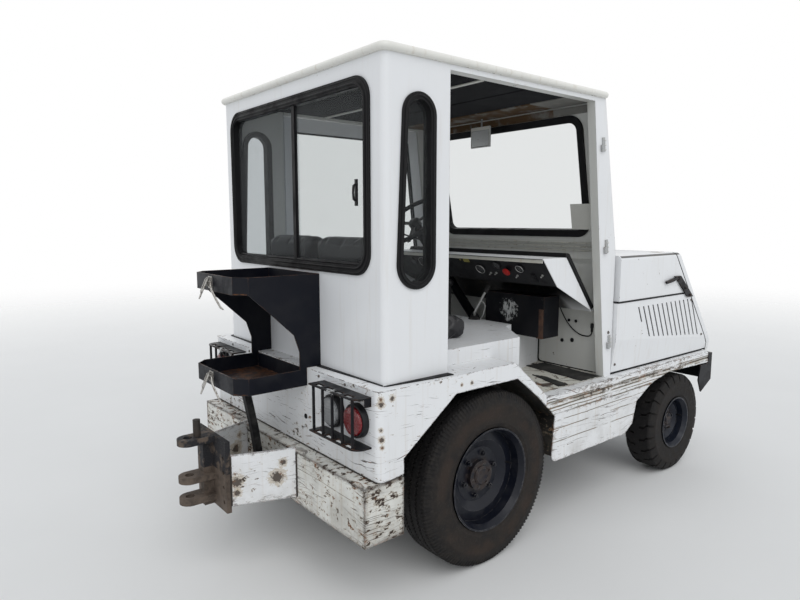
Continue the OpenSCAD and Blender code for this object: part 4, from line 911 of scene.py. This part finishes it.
def separate_half(node, left):
    """Points and faces of a node's solids on one side of the middle."""
    mesh = nodes[node].data
    keep = {v.index: k for k, v in enumerate(v for v in mesh.vertices if (v.co.y > 0) == left)}
    points = [mesh.vertices[i].co.copy() for i in keep]
    faces = [[keep[i] for i in p.vertices] for p in mesh.polygons if all(i in keep for i in p.vertices)]
    return points, faces


def made_mesh(obj):
    """The object's mesh with its modifiers applied."""
    view = bpy.context.evaluated_depsgraph_get()
    view.update()
    return bpy.data.meshes.new_from_object(obj.evaluated_get(view))


def pad(name, node, left, seams, swell=0.0):
    """A padded seat piece swollen by a cloth simulation, with its seams pressed in afterwards.

    It starts smaller than its solid by inset all round, moves by reach at most, and stays inside the
    solid's box, apart from swell at its front and top."""
    inset, reach = 0.010, 0.024
    points, faces = separate_half(node, left)
    low = Vector([min(p[k] for p in points) for k in range(3)])
    high = Vector([max(p[k] for p in points) for k in range(3)])
    middle = (low + high) / 2
    shrink = Vector([(s - 2 * inset) / s for s in high - low])
    shape = Shape()
    shape.add([middle + Vector([(p[k] - middle[k]) * shrink[k] for k in range(3)])
               for p in points], faces)
    made = shape.piece(name, "vinyl", smooth=0, slot="vinyl")
    remesh = made.modifiers.new("remesh", "REMESH")
    remesh.mode = "VOXEL"
    remesh.voxel_size = 0.007
    made.data = made_mesh(made)
    made.modifiers.clear()
    start = np.array([v.co for v in made.data.vertices])
    cloth = made.modifiers.new("cloth", "CLOTH")
    cloth.settings.use_pressure = True
    cloth.settings.uniform_pressure_force = 4.0
    cloth.settings.effector_weights.gravity = 0.0
    for step in range(1, 21):
        scene.frame_set(step)
    made.data = made_mesh(made)
    made.modifiers.clear()
    scene.frame_set(1)
    now = np.array([v.co for v in made.data.vertices])
    move = now - start
    length = np.linalg.norm(move, axis=1, keepdims=True)
    now = start + move * np.minimum(1.0, reach / np.maximum(length, 1e-9))
    now = np.minimum(np.maximum(now, np.array(low)), np.array(high) + np.array((swell, 0, swell)))
    made.data.vertices.foreach_set("co", now.ravel())
    made.data.update()
    smooth = made.modifiers.new("smooth", "SUBSURF")
    smooth.levels = smooth.render_levels = 1
    made.data = made_mesh(made)
    made.modifiers.clear()
    press_seams(made, seams)
    made.data.shade_smooth()
    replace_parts(made, node)


def press_seams(made, seams):
    """Pushes the skin in along seam planes, each (point, normal, direction that the skin faces)."""
    wide = deep = 0.006
    mesh = made.data
    normals = np.array([v.normal for v in mesh.vertices])
    places = np.array([v.co for v in mesh.vertices])
    push = np.zeros(len(places))
    for point, normal, outward in seams:
        off = (places - np.array(point)) @ np.array(normal)
        face = np.clip(normals @ np.array(outward) * 2 - 0.4, 0, 1)
        push = np.maximum(push, np.exp(-(off / wide) ** 2) * face)
    places -= normals * (push * deep)[:, None]
    mesh.vertices.foreach_set("co", places.ravel())
    mesh.update()


def seats():
    """Two cushions and two backs, with welts between their panels."""
    cushion_low, cushion_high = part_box("seat_cushions")
    lean = Vector((-math.sin(math.radians(12)), 0, math.cos(math.radians(12))))
    forward = (lean.z, 0, -lean.x)
    foot = at(350, 0, 955)
    for side, middle in (("left", 0.224), ("right", -0.224)):
        welts = (middle - 0.15, middle + 0.15)
        cross = [((x, 0, 0), (1, 0, 0), (0, 0, 1)) for x in
                 (cushion_low.x + 0.07, cushion_low.x + 0.20, cushion_high.x - 0.07)]
        long = [((0, y, 0), (0, 1, 0), (0, 0, 1)) for y in welts]
        front = [((0, 0, cushion_low.z + 0.032), (0, 0, 1), (1, 0, 0))]
        pad(f"{side}_cushion", "seat_cushions", middle > 0, cross + long + front, swell=0.008)
        rows = [(tuple(foot + lean * h), tuple(lean), forward) for h in (0.12, 0.26, 0.40)]
        edges = [((0, y, 0), (0, 1, 0), forward) for y in welts]
        pad(f"{side}_backrest", "seat_backs", middle > 0, rows + edges)


def on_screen(out, y, up):
    """A place in millimetres out of the windscreen's plane, across it and up along it."""
    return at(SCREEN_FOOT[0] + out * math.cos(SCREEN_RAKE) - up * math.sin(SCREEN_RAKE), y,
              SCREEN_FOOT[1] + out * math.sin(SCREEN_RAKE) + up * math.cos(SCREEN_RAKE))


def quarter_outline(inset):
    """The quarter window's outline, drawn in by inset."""
    top, top_r = Vector((231.5, 1885.5)), 82.5
    low, low_r = Vector((219, 1335)), 95
    lean = math.pi - 2 * math.asin((low_r - top_r) / (top - low).length)
    arcs = [(top, top_r - inset, lean * k / 14) for k in range(15)]
    arcs += [(low, low_r - inset, lean + (2 * math.pi - lean) * k / 14) for k in range(15)]
    return [(middle.x + r * math.cos(a), middle.y + r * math.sin(a)) for middle, r, a in arcs]


def pillar_rear(z):
    """Station of the windscreen pillar's rear edge at a height."""
    return 1345 + (2089 - z) * 173 / 1399


def window_details():
    """Locking beads in the rubbers, the sliding window's catch and the door glass's rubber."""
    beads = Shape()
    beads.tube([at(60, y, z) for y, z in round_corners((-564, 1316), (564, 2004), 72)], 0.0052, 8, True)
    beads.tube([at(60, y, z) for y, z in round_corners((-581, 1299), (581, 2021), 84)], 0.0030, 8, True)
    for side in SIDES:
        beads.tube([at(x, side * 678.5, z) for x, z in quarter_outline(14)], 0.0042, 8, True)
    beads.tube([on_screen(8, y, up) for y, up in round_corners((-530, 94), (530, 685), 64)],
               0.0048, 8, True)
    beads.piece("window_beads", "window_rubber", smooth=60, slot="rubber")
    channel = Shape()
    for z in (1331, 1989):
        channel.block(at(69, -546, z), at(84, 546, z + 7))
    channel.block(at(74, -46, 1332), at(79, -38, 1990))
    channel.block(at(67, -500, 1555), at(75, -488, 1655))
    channel.tube([at(66, -494, 1575), at(58, -494, 1580), at(56, -494, 1605), at(58, -494, 1630),
                  at(66, -494, 1635)], 0.0045)
    channel.piece("window_channel", "black_plastic", slot="black_plastic")
    corners = [(465, 1250), (465, 1989), (pillar_rear(1989) - 75, 1989), (pillar_rear(1250) - 75, 1250)]
    rubber = Shape()
    for y in (672, 652):
        rubber.tube([at(x, y, z) for x, z in corners], 0.0085, 8, True)
    rubber.piece("door_glass_rubber", "window_rubber", "left_door", slot="rubber")


def bonnet_side(x, z):
    """How far out the bonnet's side is: upright down to a falling fold, and leaning in below it."""
    fold = 880 - (x - 1577) * 96 / 988
    return BONNET_HALF - max(0.0, fold - z) * 0.139


def seals():
    """Rubber under the cab's walls and behind the seams of the bonnet."""
    gasket = Shape()
    for side in SIDES:
        gasket.prism([tuple(at(x, side * y, 0))[:2] for x, y in
                      ((60, 670.8), (391, 670.8), (391, 706), (300, 702), (75, 678))], 0.8861, 0.8900)
        gasket.prism([tuple(at(x, side * y, 0))[:2] for x, y in
                      ((67.8, 225), (67.8, 660), (61, 668), (56, 500), (42, 225))], 0.8861, 0.8895)
    gasket.piece("cab_gasket", "strip_rubber", bevel=0.001, slot="rubber")

    feet = Shape()
    riding = Shape()
    for side in SIDES:
        feet.loft([[at(x, side * y, 690.2), at(x, side * (y - 16), 690.2),
                    at(x, side * (y - 16), 699.5), at(x, side * y, 699.5)]
                   for x, y in ((1552, 668), (2598, 682))])
        feet.block(at(1610, side * 687.4, 1045), at(2352, side * 680, 1070))
        feet.block(at(1592, side * 695.0, 1071.2), at(2300, side * 683, 1079.4))
        riding.block(at(1612, side * 687.4, 1074), at(2340, side * 681, 1096))
    feet.piece("bonnet_side_seals", "strip_rubber", slot="rubber")
    riding.piece("lid_seals", "strip_rubber", "bonnet", slot="rubber")

    def nose_x(z):
        """Station of the seal at a height, behind the nose, which leans back above a low knee."""
        behind = 35
        if z > 755:
            return 2672 - (z - 749) * 0.7916 - behind * 1.277
        return 2672 + (749 - z) * 0.109 - behind * 1.03 - 8 * max(0.0, (z - 735) / 20)

    heights = [704, 725, 742, 760, 800, 850, 950, 1100, 1250, 1292]
    path = [at(nose_x(z), bonnet_side(nose_x(z), z) - 3.5, z) for z in heights]
    for angle in (math.pi / 12 * k for k in range(1, 7)):
        z = 1295 + 21.5 * math.sin(angle)
        path.append(at(nose_x(z), 667.5 + 21.5 * math.cos(angle), z))
    path += [Vector((p.x, -p.y, p.z)) for p in path[::-1]]
    strip = Shape()
    strip.tube(path, 0.0036, 8)
    strip.piece("nose_seal", "strip_rubber", "bonnet", slot="rubber")
    mat = Shape()
    for side in SIDES:
        mat.across([(1775, 900), (1775, 1052), (2380, 1052), (2500, 905), (2545, 815), (2400, 806),
                    (2100, 840)], side * 683.4, side * 687.4)
    mat.piece("louvre_felt", "black_felt", slot="rubber")


def bonnet_details():
    """Bolts of the bonnet's sides, and the pivots and wire handles of its latches."""
    bolts = Shape()
    for side in SIDES:
        out = (0, side, 0)
        bolts.bolt(facing(at(1544, side * 670.5, 922), out, 0.3), 0.010, 0.006)
        for x, z in ((2550, 800), (2391, 1027), (1612, 742)):
            bolts.bolt(facing(at(x, side * bonnet_side(x, z), z), out, 0.2), 0.009, 0.006)
    bolts.piece("bonnet_bolts", "bolt_steel", slot="zinc")
    for side, hand in ((1, "left"), (-1, "right")):
        latch = Shape()
        for x, z in ((2200, 1174), (2353, 1062), (2290, 1107)):
            latch.bolt(facing(at(x, side * 703.5, z), (0, side, 0), 0.4), 0.010, 0.008)
        latch.tube([at(x, side * y, z) for x, y, z in (
            (2060, 704, 1154), (2120, 707, 1166), (2178, 707, 1177),
            (2184, 705, 1166), (2128, 706, 1155), (2062, 704, 1147))], 0.003, 8, True)
        latch.block(at(2206, side * 703.4, 1157), at(2226, side * 706.5, 1180))
        latch.piece(f"{hand}_latch_pivots", "black_paint", "bonnet", slot="black_steel")


def lamps():
    """Rear lamps and headlamps, each a cup or rim with a domed lens, and the small fixings near them."""
    cups, red, clear = Shape(), Shape(), Shape()
    for side in SIDES:
        for shape, y in ((red, 599), (clear, 440)):
            place = facing(at(0, side * y, 755), (-1, 0, 0))
            cups.lathe([(0, 0.0004), (0.066, 0.0004), (0.066, 0.020), (0.064, 0.0245), (0.060, 0.026),
                        (0.0565, 0.0255), (0.0560, 0.020), (0, 0.020)], place, 40)
            shape.lathe([(0, 0.0205), (0.0555, 0.0205), (0.0555, 0.031), (0.0530, 0.0355),
                         (0.045, 0.0385), (0.025, 0.0398), (0, 0.040)], place, 40)
            for k in range(3):
                rim = polar(0.0605, math.pi * (2 * k / 3 + 0.5), 0.0255)
                cups.screw(place @ Matrix.Translation(rim), 0.0035)
    cups.piece("rear_lamp_cups", "black_plastic", slot="black_plastic")
    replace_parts(red.piece("tail_lamp_lenses", "red_lens", slot="lens_red"), "tail_lamps")
    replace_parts(clear.piece("reverse_lamp_lenses", "clear_lens", slot="lens_clear"), "reverse_lamps")
    rims, heads = Shape(), Shape()
    for side in SIDES:
        place = facing(at(2655, side * 520, 590), (1, 0, 0))
        rims.lathe([(0, 0.0004), (0.060, 0.0004), (0.060, 0.006), (0.058, 0.0095), (0.0535, 0.0105),
                    (0.051, 0.0085), (0.0505, 0.004), (0, 0.004)], place, 40)
        heads.lathe([(0, 0.0045), (0.050, 0.0045), (0.050, 0.0075), (0.042, 0.0098), (0.024, 0.0115),
                     (0, 0.012)], place, 40)
    rims.piece("headlamp_rims", "clean_steel", slot="bare_steel")
    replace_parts(heads.piece("headlamp_lenses", "clear_lens", slot="lens_clear"), "headlamps")
    fixings = Shape()
    for y, z in ((-319, 868), (-508, 872), (508, 872), (319, 868)):
        fixings.bolt(facing(at(0, y, z), (-1, 0, 0)), 0.007, 0.005)
    for side in SIDES:
        for x, z in ((2580, 560), (2580, 628)):
            fixings.bolt(facing(at(x, side * 714.4, z), (0, -side, 0)), 0.011, 0.008)
        for z in (530, 650):
            for y in (-270, 310):
                fixings.bolt(facing(at(2655, side * y, z), (1, 0, 0)), 0.010, 0.007)
    fixings.piece("lamp_panel_bolts", "bolt_steel", slot="zinc")
    grommet = Shape()
    grommet.lathe([(0, 0.0003), (0.0115, 0.0003), (0.0105, 0.0026), (0.0085, 0.0030), (0.0070, 0.0010),
                   (0, 0.0008)], facing(at(0, -209, 672), (-1, 0, 0)), 20)
    grommet.piece("panel_grommet", "strip_rubber", slot="rubber")


def tow_details():
    """Weld beads of the tow box, and the two toggle latches on the trays' rear edges."""
    welds = Shape()

    def weld(start, end, size=0.0045):
        """An uneven bead between two places."""
        steps = max(4, int((end - start).length / 0.006))
        ripple = Vector((0, 0.0006, 0.0006))
        welds.tube([start.lerp(end, k / steps) + ripple * math.sin(2.1 * k) * (k % 3)
                    for k in range(steps + 1)], size, 8)

    for side in SIDES:
        weld(at(-67, side * 238, 342), at(-67, side * 238, 537))
        weld(at(-320, side * 150, 344), at(-320, side * 150, 553), 0.004)
        weld(at(-0.5, side * 708, 541), at(-0.5, side * 30, 541), 0.0028)
    welds.piece("tow_box_welds", "pin_steel", slot="black_steel")
    latches = Shape()
    for x, z in ((-300, 1210), (-310, 810)):
        base = Matrix.Translation(at(x, 30, z))
        latches.block((-0.003, -0.020, 0.012), (-0.0003, 0.020, 0.062), base)
        for y in (-0.0135, 0.0115):
            latches.block((-0.012, y, 0.020), (-0.003, y + 0.002, 0.056), base)
        for y, high in ((-0.014, 0.017), (0.014, 0.017), (-0.014, 0.058), (0.014, 0.058)):
            latches.screw(base @ facing((-0.003, y, high), (-1, 0, 0)), 0.003)
        lever = base @ Matrix.Translation((-0.016, 0, 0.040)) @ Matrix.Rotation(math.radians(25), 4, "Y")
        latches.loft([[(-0.0045, -wide, z), (-0.0015, -wide, z), (-0.0015, wide, z), (-0.0045, wide, z)]
                      for z, wide in ((-0.078, 0.0045), (-0.060, 0.0065), (0.018, 0.0085))], lever)
        latches.tube([lever @ Vector((-0.006, y, z)) for y, z in (
            (-0.011, 0.010), (-0.011, -0.045), (0, -0.052), (0.011, -0.045), (0.011, 0.010),
            (0, 0.016))], 0.0018, 8, True)
        latches.tube([base @ Vector((-0.008, y, 0.042)) for y in (-0.017, 0.017)], 0.003, 10)
        for lean in (0, 0.011):
            latches.tube([base @ Vector(p) for p in (
                (-0.010, -0.016 - 0.3 * lean, 0.030 + lean), (-0.012, -0.030, 0.006 + lean),
                (-0.008, -0.062, -0.030 + lean), (-0.003, -0.098, -0.062 + 0.6 * lean),
                (0.002, -0.112, -0.066))], 0.0026, 8)
    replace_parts(latches.piece("toggle_latches", "plated_steel", slot="zinc"), "tray_latches")


# The windscreen: x out of its plane, y across to the left, z up along it
SCREEN = (Matrix.Translation(at(SCREEN_FOOT[0], 0, SCREEN_FOOT[1]))
          @ Matrix.Rotation(-SCREEN_RAKE, 4, "Y"))
# The instrument panel: x across to the left, y down its slope, z out of it towards the driver
PANEL = Matrix.Translation(at(1088, 0, 1309)) @ Matrix((
    (0, 0.629, -0.777, 0), (1, 0, 0, 0), (0, -0.777, -0.629, 0), (0, 0, 0, 1)))
# The mirror over the windscreen: x across to the left, y up, z forward
MIRROR = Matrix.Translation(at(1343.6, 0, 0)) @ Matrix((
    (0, 0, 1, 0), (1, 0, 0, 0), (0, 1, 0, 0), (0, 0, 0, 1)))
# The steering wheel: z up along its column
COLUMN = Matrix.Translation(at(1050, 300, 1480)) @ Matrix.Rotation(-math.radians(40), 4, "Y")


def on_panel(y, down):
    """A place on the instrument panel, in millimetres to the left and down its slope."""
    return PANEL @ Matrix.Translation((y / 1000, down / 1000, 0))


def ceiling():
    """Headlining, header board, screen ledges, pillar plate, and the mirror's glass and band."""
    lining = Shape()
    lining.block(at(104, -616, 2080), at(1210, 616, 2088.4))
    for x in (300, 930):
        lining.tube([at(x, -612, 2080), at(x, 612, 2080)], 0.0035, 8)
    lining.piece("headlining", "black_felt", bevel=0.003, slot="vinyl")
    batten = Shape()
    batten.block(at(630, -600, 2074), at(652, 600, 2079.8))
    batten.piece("headlining_batten", "pale_plastic", bevel=0.002, slot="grey_plastic")
    board = Shape()
    board.block(at(1215, -616, 2077), at(1404, 616, 2086))
    board.block((-0.0345, -0.612, 0.706), (-0.0255, 0.612, 0.744), SCREEN)
    for y in (-560, -200, 200, 560):
        board.screw(facing(at(1240, y, 2077), (0, 0, -1)))
    board.piece("header_panel", "header_board", bevel=0.002, slot="vinyl")
    ledges = Shape()
    for up, deep in ((0.042, 0.012), (0.022, 0.014), (0.0, 0.010)):
        ledges.block((-0.0255 - deep, -0.612, up - 0.003), (-0.0253, 0.612, up + 0.003), SCREEN)
    ledges.piece("screen_ledges", "ledge_paint", bevel=0.001, slot="white_paint")
    plate = Shape()
    plate.block((-0.039, -0.612, 0.117), (-0.0355, -0.443, 0.253), SCREEN)
    plate.block((-0.0355, -0.610, 0.125), (-0.0255, -0.570, 0.245), SCREEN)
    for up in (0.130, 0.240):
        plate.screw(SCREEN @ facing((-0.039, -0.590, up), (-1, 0, 0)), 0.004)
    plate.piece("pillar_plate", "pale_plastic", bevel=0.0015, slot="grey_plastic")
    mirror = Shape()
    mirror.prism(round_corners((0.012, 1.925), (0.141, 2.010), 0.006), 0.0, 0.0013, MIRROR)
    mirror.piece("mirror_glass", "mirror_glass", slot="bare_steel")
    band = Shape()
    band.block(at(1342.5, 5, 2013), at(1344.9, 148, 2032))
    band.tube([at(1344, y, z) for y, z in round_corners((7, 1920), (146, 2030), 8)], 0.002, 8, True)
    band.piece("mirror_band", "pale_plastic", bevel=0.001, slot="grey_plastic")


def dash():
    """The cowl's edge trim and the panel's gauges, switches, button and label."""
    trim = Shape()
    trim.across([(1246, 1320.3), (1260, 1320.3), (1264, 1316), (1276, 1326), (1266, 1342), (1246, 1342)],
                -606, 560)
    for side in SIDES:
        trim.across([(1262, 1320), (1487, 1042), (1504, 1055), (1276, 1340)], side * 588, side * 606)
    trim.piece("dash_trim", "strip_rubber", bevel=0.003, slot="rubber")
    lip = Shape()
    lip.across([(1079, 1314.6), (1079, 1297), (1083, 1297), (1084, 1314.6)], -594, 594)
    lip.piece("dash_lip", "lip_paint", bevel=0.001, slot="white_paint")
    rings, faces = Shape(), Shape()
    for y, down, radius in ((-142, 80, 0.030), (-273, 48, 0.026), (-422, 58, 0.024), (300, 62, 0.042),
                            (400, 62, 0.026), (200, 62, 0.026)):
        place = on_panel(y, down)
        rings.lathe([(share * radius, high) for share, high in (
            (0, 0), (1, 0), (1, 0.006), (0.92, 0.009), (0.84, 0.007), (0.82, 0.004), (0, 0.004))],
                    place, 36)
        faces.lathe([(share * radius, high) for share, high in (
            (0, 0.0042), (0.81, 0.0042), (0.81, 0.0055), (0.5, 0.0064), (0, 0.0068))], place, 28)
    for y in (-530, -60, 60, 530):
        rings.screw(on_panel(y, 150))
    for down in (104, 131):
        switch = on_panel(-488, down)
        rocker = switch @ Matrix.Rotation(0.2, 4, "X")
        rings.block((-0.012, -0.012, 0), (0.012, 0.012, 0.006), switch)
        rings.block((-0.009, -0.008, 0.004), (0.009, 0.008, 0.010), rocker)
    rings.lathe([(0, 0), (0.017, 0), (0.017, 0.004), (0.011, 0.006), (0.011, 0.014), (0, 0.014)],
                on_panel(-332, 78), 28)
    bright = Shape()
    for y, down, radius in ((-142, 80, 0.028), (-422, 58, 0.022), (300, 62, 0.040)):
        bright.tube([on_panel(y, down) @ polar(radius, math.pi * k / 16, 0.0088) for k in range(32)],
                    0.0012, 6, True)
    for y, down in ((-200, 108), (-240, 104), (-380, 112), (-545, 96)):
        bright.lathe([(0, 0), (0.006, 0), (0.006, 0.004), (0.0035, 0.005), (0.003, 0.014),
                      (0.0045, 0.016), (0, 0.018)], on_panel(y, down), 16)
    bright.piece("panel_bright_work", "clean_steel", slot="bare_steel")
    rings.piece("gauge_rims", "black_plastic", slot="black_plastic")
    faces.piece("gauge_glasses", "gauge_glass", slot="lens_clear")
    button = Shape()
    button.lathe([(0, 0.012), (0.019, 0.012), (0.022, 0.015), (0.021, 0.020), (0.014, 0.0235),
                  (0, 0.0245)], on_panel(-332, 78), 32)
    button.piece("stop_button", "red_plastic", slot="lens_red")
    label = Shape()
    label.block((-0.022, -0.014, 0), (0.022, 0.014, 0.0008), on_panel(-61, 27))
    label.block((0.040, -0.004, 0), (0.050, 0.004, 0.0010), on_panel(-61, 27))
    label.piece("panel_plate", "yellow_plastic", slot="grey_plastic")


def controls():
    """Hand lever, pedal rubbers, wheel cap, column sleeve, mats and the door's handles."""
    lever = Shape()
    lever.tube([at(1178, -62, 960), at(1172, -68, 975), at(1156, -84, 1000), at(1150, -104, 1024),
                at(1150, -180, 1142)], 0.0065, 12)
    lever.tube([at(1150, -136, 1066), at(1158, -140, 1064), at(1176, -144, 1040), at(1184, -120, 985),
                at(1186, -100, 960)], 0.003, 8)
    lever.piece("hand_lever", "clean_steel", slot="bare_steel")
    boot = Shape()
    boot.lathe([(0.036, 0.0004), (0.034, 0.008), (0.026, 0.012), (0.027, 0.018), (0.019, 0.022),
                (0.020, 0.028), (0.012, 0.034), (0.010, 0.042), (0, 0.043)],
               Matrix.Translation(at(1180, -60, 955)), 28)
    boot.tube([at(1150, -166, 1120), at(1150, -182, 1145), at(1150, -190, 1158)], 0.012, 14)
    for y in (300, 390, 480):
        for r in range(6):
            boot.block(at(1455, y - 27, 701 + 13 * r), at(1461.5, y + 27, 709 + 13 * r))
        boot.block(at(1459, y - 28, 696), at(1461.8, y + 28, 778))
    boot.piece("lever_boot", "soft_rubber", bevel=0.0015, slot="rubber")
    cap = Shape()
    cap.lathe([(0, 0.020), (0.033, 0.020), (0.032, 0.026), (0.024, 0.031), (0.010, 0.033), (0, 0.0332)],
              COLUMN, 32)
    cap.piece("wheel_cap", "black_plastic", "steering_wheel", slot="black_plastic")
    gaiter = Shape()
    gaiter.lathe([(0.029, -0.190), (0.034, -0.184), (0.034, -0.150), (0.030, -0.146), (0.030, -0.060),
                  (0.024, -0.052), (0.0125, -0.050)], COLUMN, 28)
    gaiter.tube([COLUMN @ Vector((0, y, z)) for y, z in (
        (0.030, -0.120), (0.090, -0.105), (0.165, -0.080))], 0.005, 10)
    gaiter.piece("column_sleeve", "black_plastic", slot="black_plastic")
    mats = Shape()
    for corners in (((1410, -246), (1549, -263), (1519, -645), (1366, -640)),
                    ((1272, -399), (1291, -469), (1253, -640), (1187, -634)),
                    ((1215, 300), (1440, 262), (1440, 610), (1215, 622))):
        outline = []
        for k, corner in enumerate(corners):
            following = corners[(k + 1) % 4]
            for i in range(8):
                t = i / 8
                wave = 3.5 * math.sin(5 * k + 2.3 * i) if i else 0.0
                outline.append(tuple(at(corner[0] + (following[0] - corner[0]) * t + wave,
                                        corner[1] + (following[1] - corner[1]) * t + wave, 0))[:2])
        mats.prism(outline, 0.6852, 0.6895)
    mats.piece("floor_mats", "mat_rubber", bevel=0.001, slot="rubber")
    handle = Shape()
    handle.tube([at(452, 671, 1105), at(452, 690, 1105), at(460, 699, 1106), at(560, 699, 1112),
                 at(568, 690, 1112), at(568, 671, 1112)], 0.0065, 12)
    handle.lathe([(0, 0), (0.013, 0), (0.012, 0.006), (0.008, 0.010), (0, 0.010)],
                 facing(at(440, 670.5, 1055), (0, 1, 0)), 24)
    handle.block(at(430, 638.4, 1030), at(600, 630, 1052))
    handle.tube([at(452, 637, 1130), at(452, 622, 1130), at(470, 612, 1130), at(600, 612, 1130),
                 at(612, 622, 1130), at(612, 637, 1130)], 0.006, 12)
    handle.piece("door_handle", "black_plastic", "left_door", bevel=0.001, slot="black_plastic")


def hanging_cable():
    """The bulkhead's cable: a catenary from under the dash, bent up at its low end into a socket."""
    station, low_y, low_z = 1568, -517, 878
    slack, bend, radius = 120, 28, 0.003
    start, end = 173, -16
    runs = [start + (end - start) * k / 26 for k in range(27)]
    route = [(low_y + run, low_z + slack * (math.cosh(run / slack) - 1)) for run in runs]
    foot_y, foot_z = route.pop()
    turned = math.atan(math.sinh(-end / slack))
    for k in range(8):
        angle = turned + (math.pi / 2 - turned) * k / 7
        route.append((foot_y - bend * (math.sin(angle) - math.sin(turned)),
                      foot_z + bend * (math.cos(turned) - math.cos(angle))))
    path = [at(station, y, z) for y, z in route]
    cable = Shape()
    cable.tube(path, radius, 12)
    made = cable.piece("bulkhead_cable", "strip_rubber", slot="rubber")
    socket = Shape()
    socket.lathe([(0, -0.002), (0.0050, -0.002), (0.0062, 0.004), (0.0062, 0.020), (0.0085, 0.022),
                  (0.0085, 0.040), (0.0060, 0.046), (0, 0.046)], Matrix.Translation(path[-1]), 16)
    top = path[-1] + Vector((0, 0, 0.030))
    socket.block(top - Vector((0.002, 0.006, 0.008)), top + Vector((0.0035, 0.006, 0.008)))
    socket.piece("cable_socket", "black_plastic", bevel=0.0008, slot="black_plastic")


def bulkhead():
    """Grommets, seam sealer, hanging cable, the heater's strap and screws, and the hinges' screws."""
    rubber = Shape()
    for y, z, wide in ((-408, 952, 0.0085), (-453, 952, 0.009), (-366, 833, 0.011), (-432, 843, 0.012)):
        rubber.lathe([(0, 0.0003), (wide, 0.0003), (0.93 * wide, 0.003), (0.75 * wide, 0.0035),
                      (0.6 * wide, 0.001), (0, 0.0008)], facing(at(1572, y, z), (-1, 0, 0)), 20)
    rubber.tube([at(1570, -204, 880), at(1570, -204, 705), at(1570, -209, 694), at(1570, -222, 688),
                 at(1571, -400, 686), at(1571, -567, 686.5)], 0.0040, 8)
    rubber.piece("bulkhead_rubbers", "strip_rubber", slot="rubber")
    hanging_cable()
    strap = Shape()
    strap.block(at(1286.5, -448, 886), at(1289.8, -420, 1040))
    strap.block(at(1274, -452, 885.4), at(1289.8, -416, 889))
    strap.bolt(facing(at(1286.5, -434, 1015), (-1, 0, 0)), 0.009, 0.006)
    strap.piece("heater_strap", "strap_steel", bevel=0.001, slot="black_steel")
    heater = Shape()
    for y in (-440, -52):
        heater.screw(facing(at(1290, y, 1092), (-1, 0, 0)), 0.006)
    heater.piece("heater_screws", "black_plastic", slot="black_plastic")
    screws = Shape()
    for side in SIDES:
        for z in (1868, 1368, 871):
            for up in (-22, 0, 22):
                place = at(pillar_rear(z) + 58 - 0.12 * up, side * 682.5, z + up)
                screws.screw(facing(place, (0, side, 0)))
    screws.piece("hinge_screws", "clean_steel", slot="zinc")


def ground_and_light():
    """A plain pale floor that fades into a white surround, with soft light from above."""
    floor = bpy.data.objects.new("floor", bpy.data.meshes.new("floor"))
    far = 40
    corners = [(-far, -far, 0), (far, -far, 0), (far, far, 0), (-far, far, 0)]
    floor.data.from_pydata(corners, [], [(0, 1, 2, 3)])
    scene.collection.objects.link(floor)
    f = Finish("floor", specular=0.2)
    away = f.node("ShaderNodeVectorMath", operation="LENGTH")
    f.feed(away.inputs[0], f.place)
    both = f.node("ShaderNodeMixShader")
    f.feed(both.inputs[0], f.step(away.outputs["Value"], 3.2, 14.0))
    f.feed(both.inputs[1], f.face.outputs[0])
    f.feed(both.inputs[2], f.node("ShaderNodeBsdfTransparent").outputs[0])
    f.feed(f.tree.nodes["Material Output"].inputs[0], both.outputs[0])
    pale = f.mix(f.noise(0.8, 4), (0.76, 0.76, 0.75), (0.80, 0.80, 0.79))
    floor.data.materials.append(f.done(pale, 0.85))
    world = bpy.data.worlds.new("surround")
    world.use_nodes = True
    scene.world = world
    tree = world.node_tree
    light = tree.nodes["Background"]
    light.inputs["Color"].default_value = (0.93, 0.96, 1.0, 1)
    light.inputs["Strength"].default_value = 0.72
    seen = tree.nodes.new("ShaderNodeBackground")
    seen.inputs["Color"].default_value = (1, 1, 1, 1)
    path = tree.nodes.new("ShaderNodeLightPath")
    white = path.outputs["Is Camera Ray"]
    for ray in ("Is Glossy Ray", "Is Transmission Ray"):
        either = tree.nodes.new("ShaderNodeMath")
        either.operation = "MAXIMUM"
        tree.links.new(white, either.inputs[0])
        tree.links.new(path.outputs[ray], either.inputs[1])
        white = either.outputs[0]
    both = tree.nodes.new("ShaderNodeMixShader")
    tree.links.new(white, both.inputs[0])
    tree.links.new(light.outputs[0], both.inputs[1])
    tree.links.new(seen.outputs[0], both.inputs[2])
    tree.links.new(both.outputs[0], tree.nodes["World Output"].inputs[0])
    sun = bpy.data.objects.new("sun", bpy.data.lights.new("sun", "SUN"))
    sun.data.energy = 1.0
    sun.data.angle = math.radians(50)
    sun.rotation_euler = Vector((-0.30, -0.62, 0.72)).to_track_quat("Z", "Y").to_euler()
    scene.collection.objects.link(sun)


def photo_camera():
    """The photograph's camera, solved from the body's straight edges."""
    camera = bpy.data.objects.new("camera", bpy.data.cameras.new("camera"))
    camera.data.sensor_width = 36
    camera.data.lens = CAMERA_LENS
    camera.location = CAMERA_PLACE
    camera.rotation_euler = (math.radians(90 + CAMERA_PITCH), 0, math.radians(CAMERA_YAW - 90))
    scene.collection.objects.link(camera)
    scene.camera = camera
    scene.view_settings.view_transform = "Standard"


photo_camera()
ground_and_light()
white_finishes()
metal_finishes()
other_finishes()
wheels()
seats()
window_details()
seals()
bonnet_details()
lamps()
tow_details()
ceiling()
dash()
controls()
bulkhead()
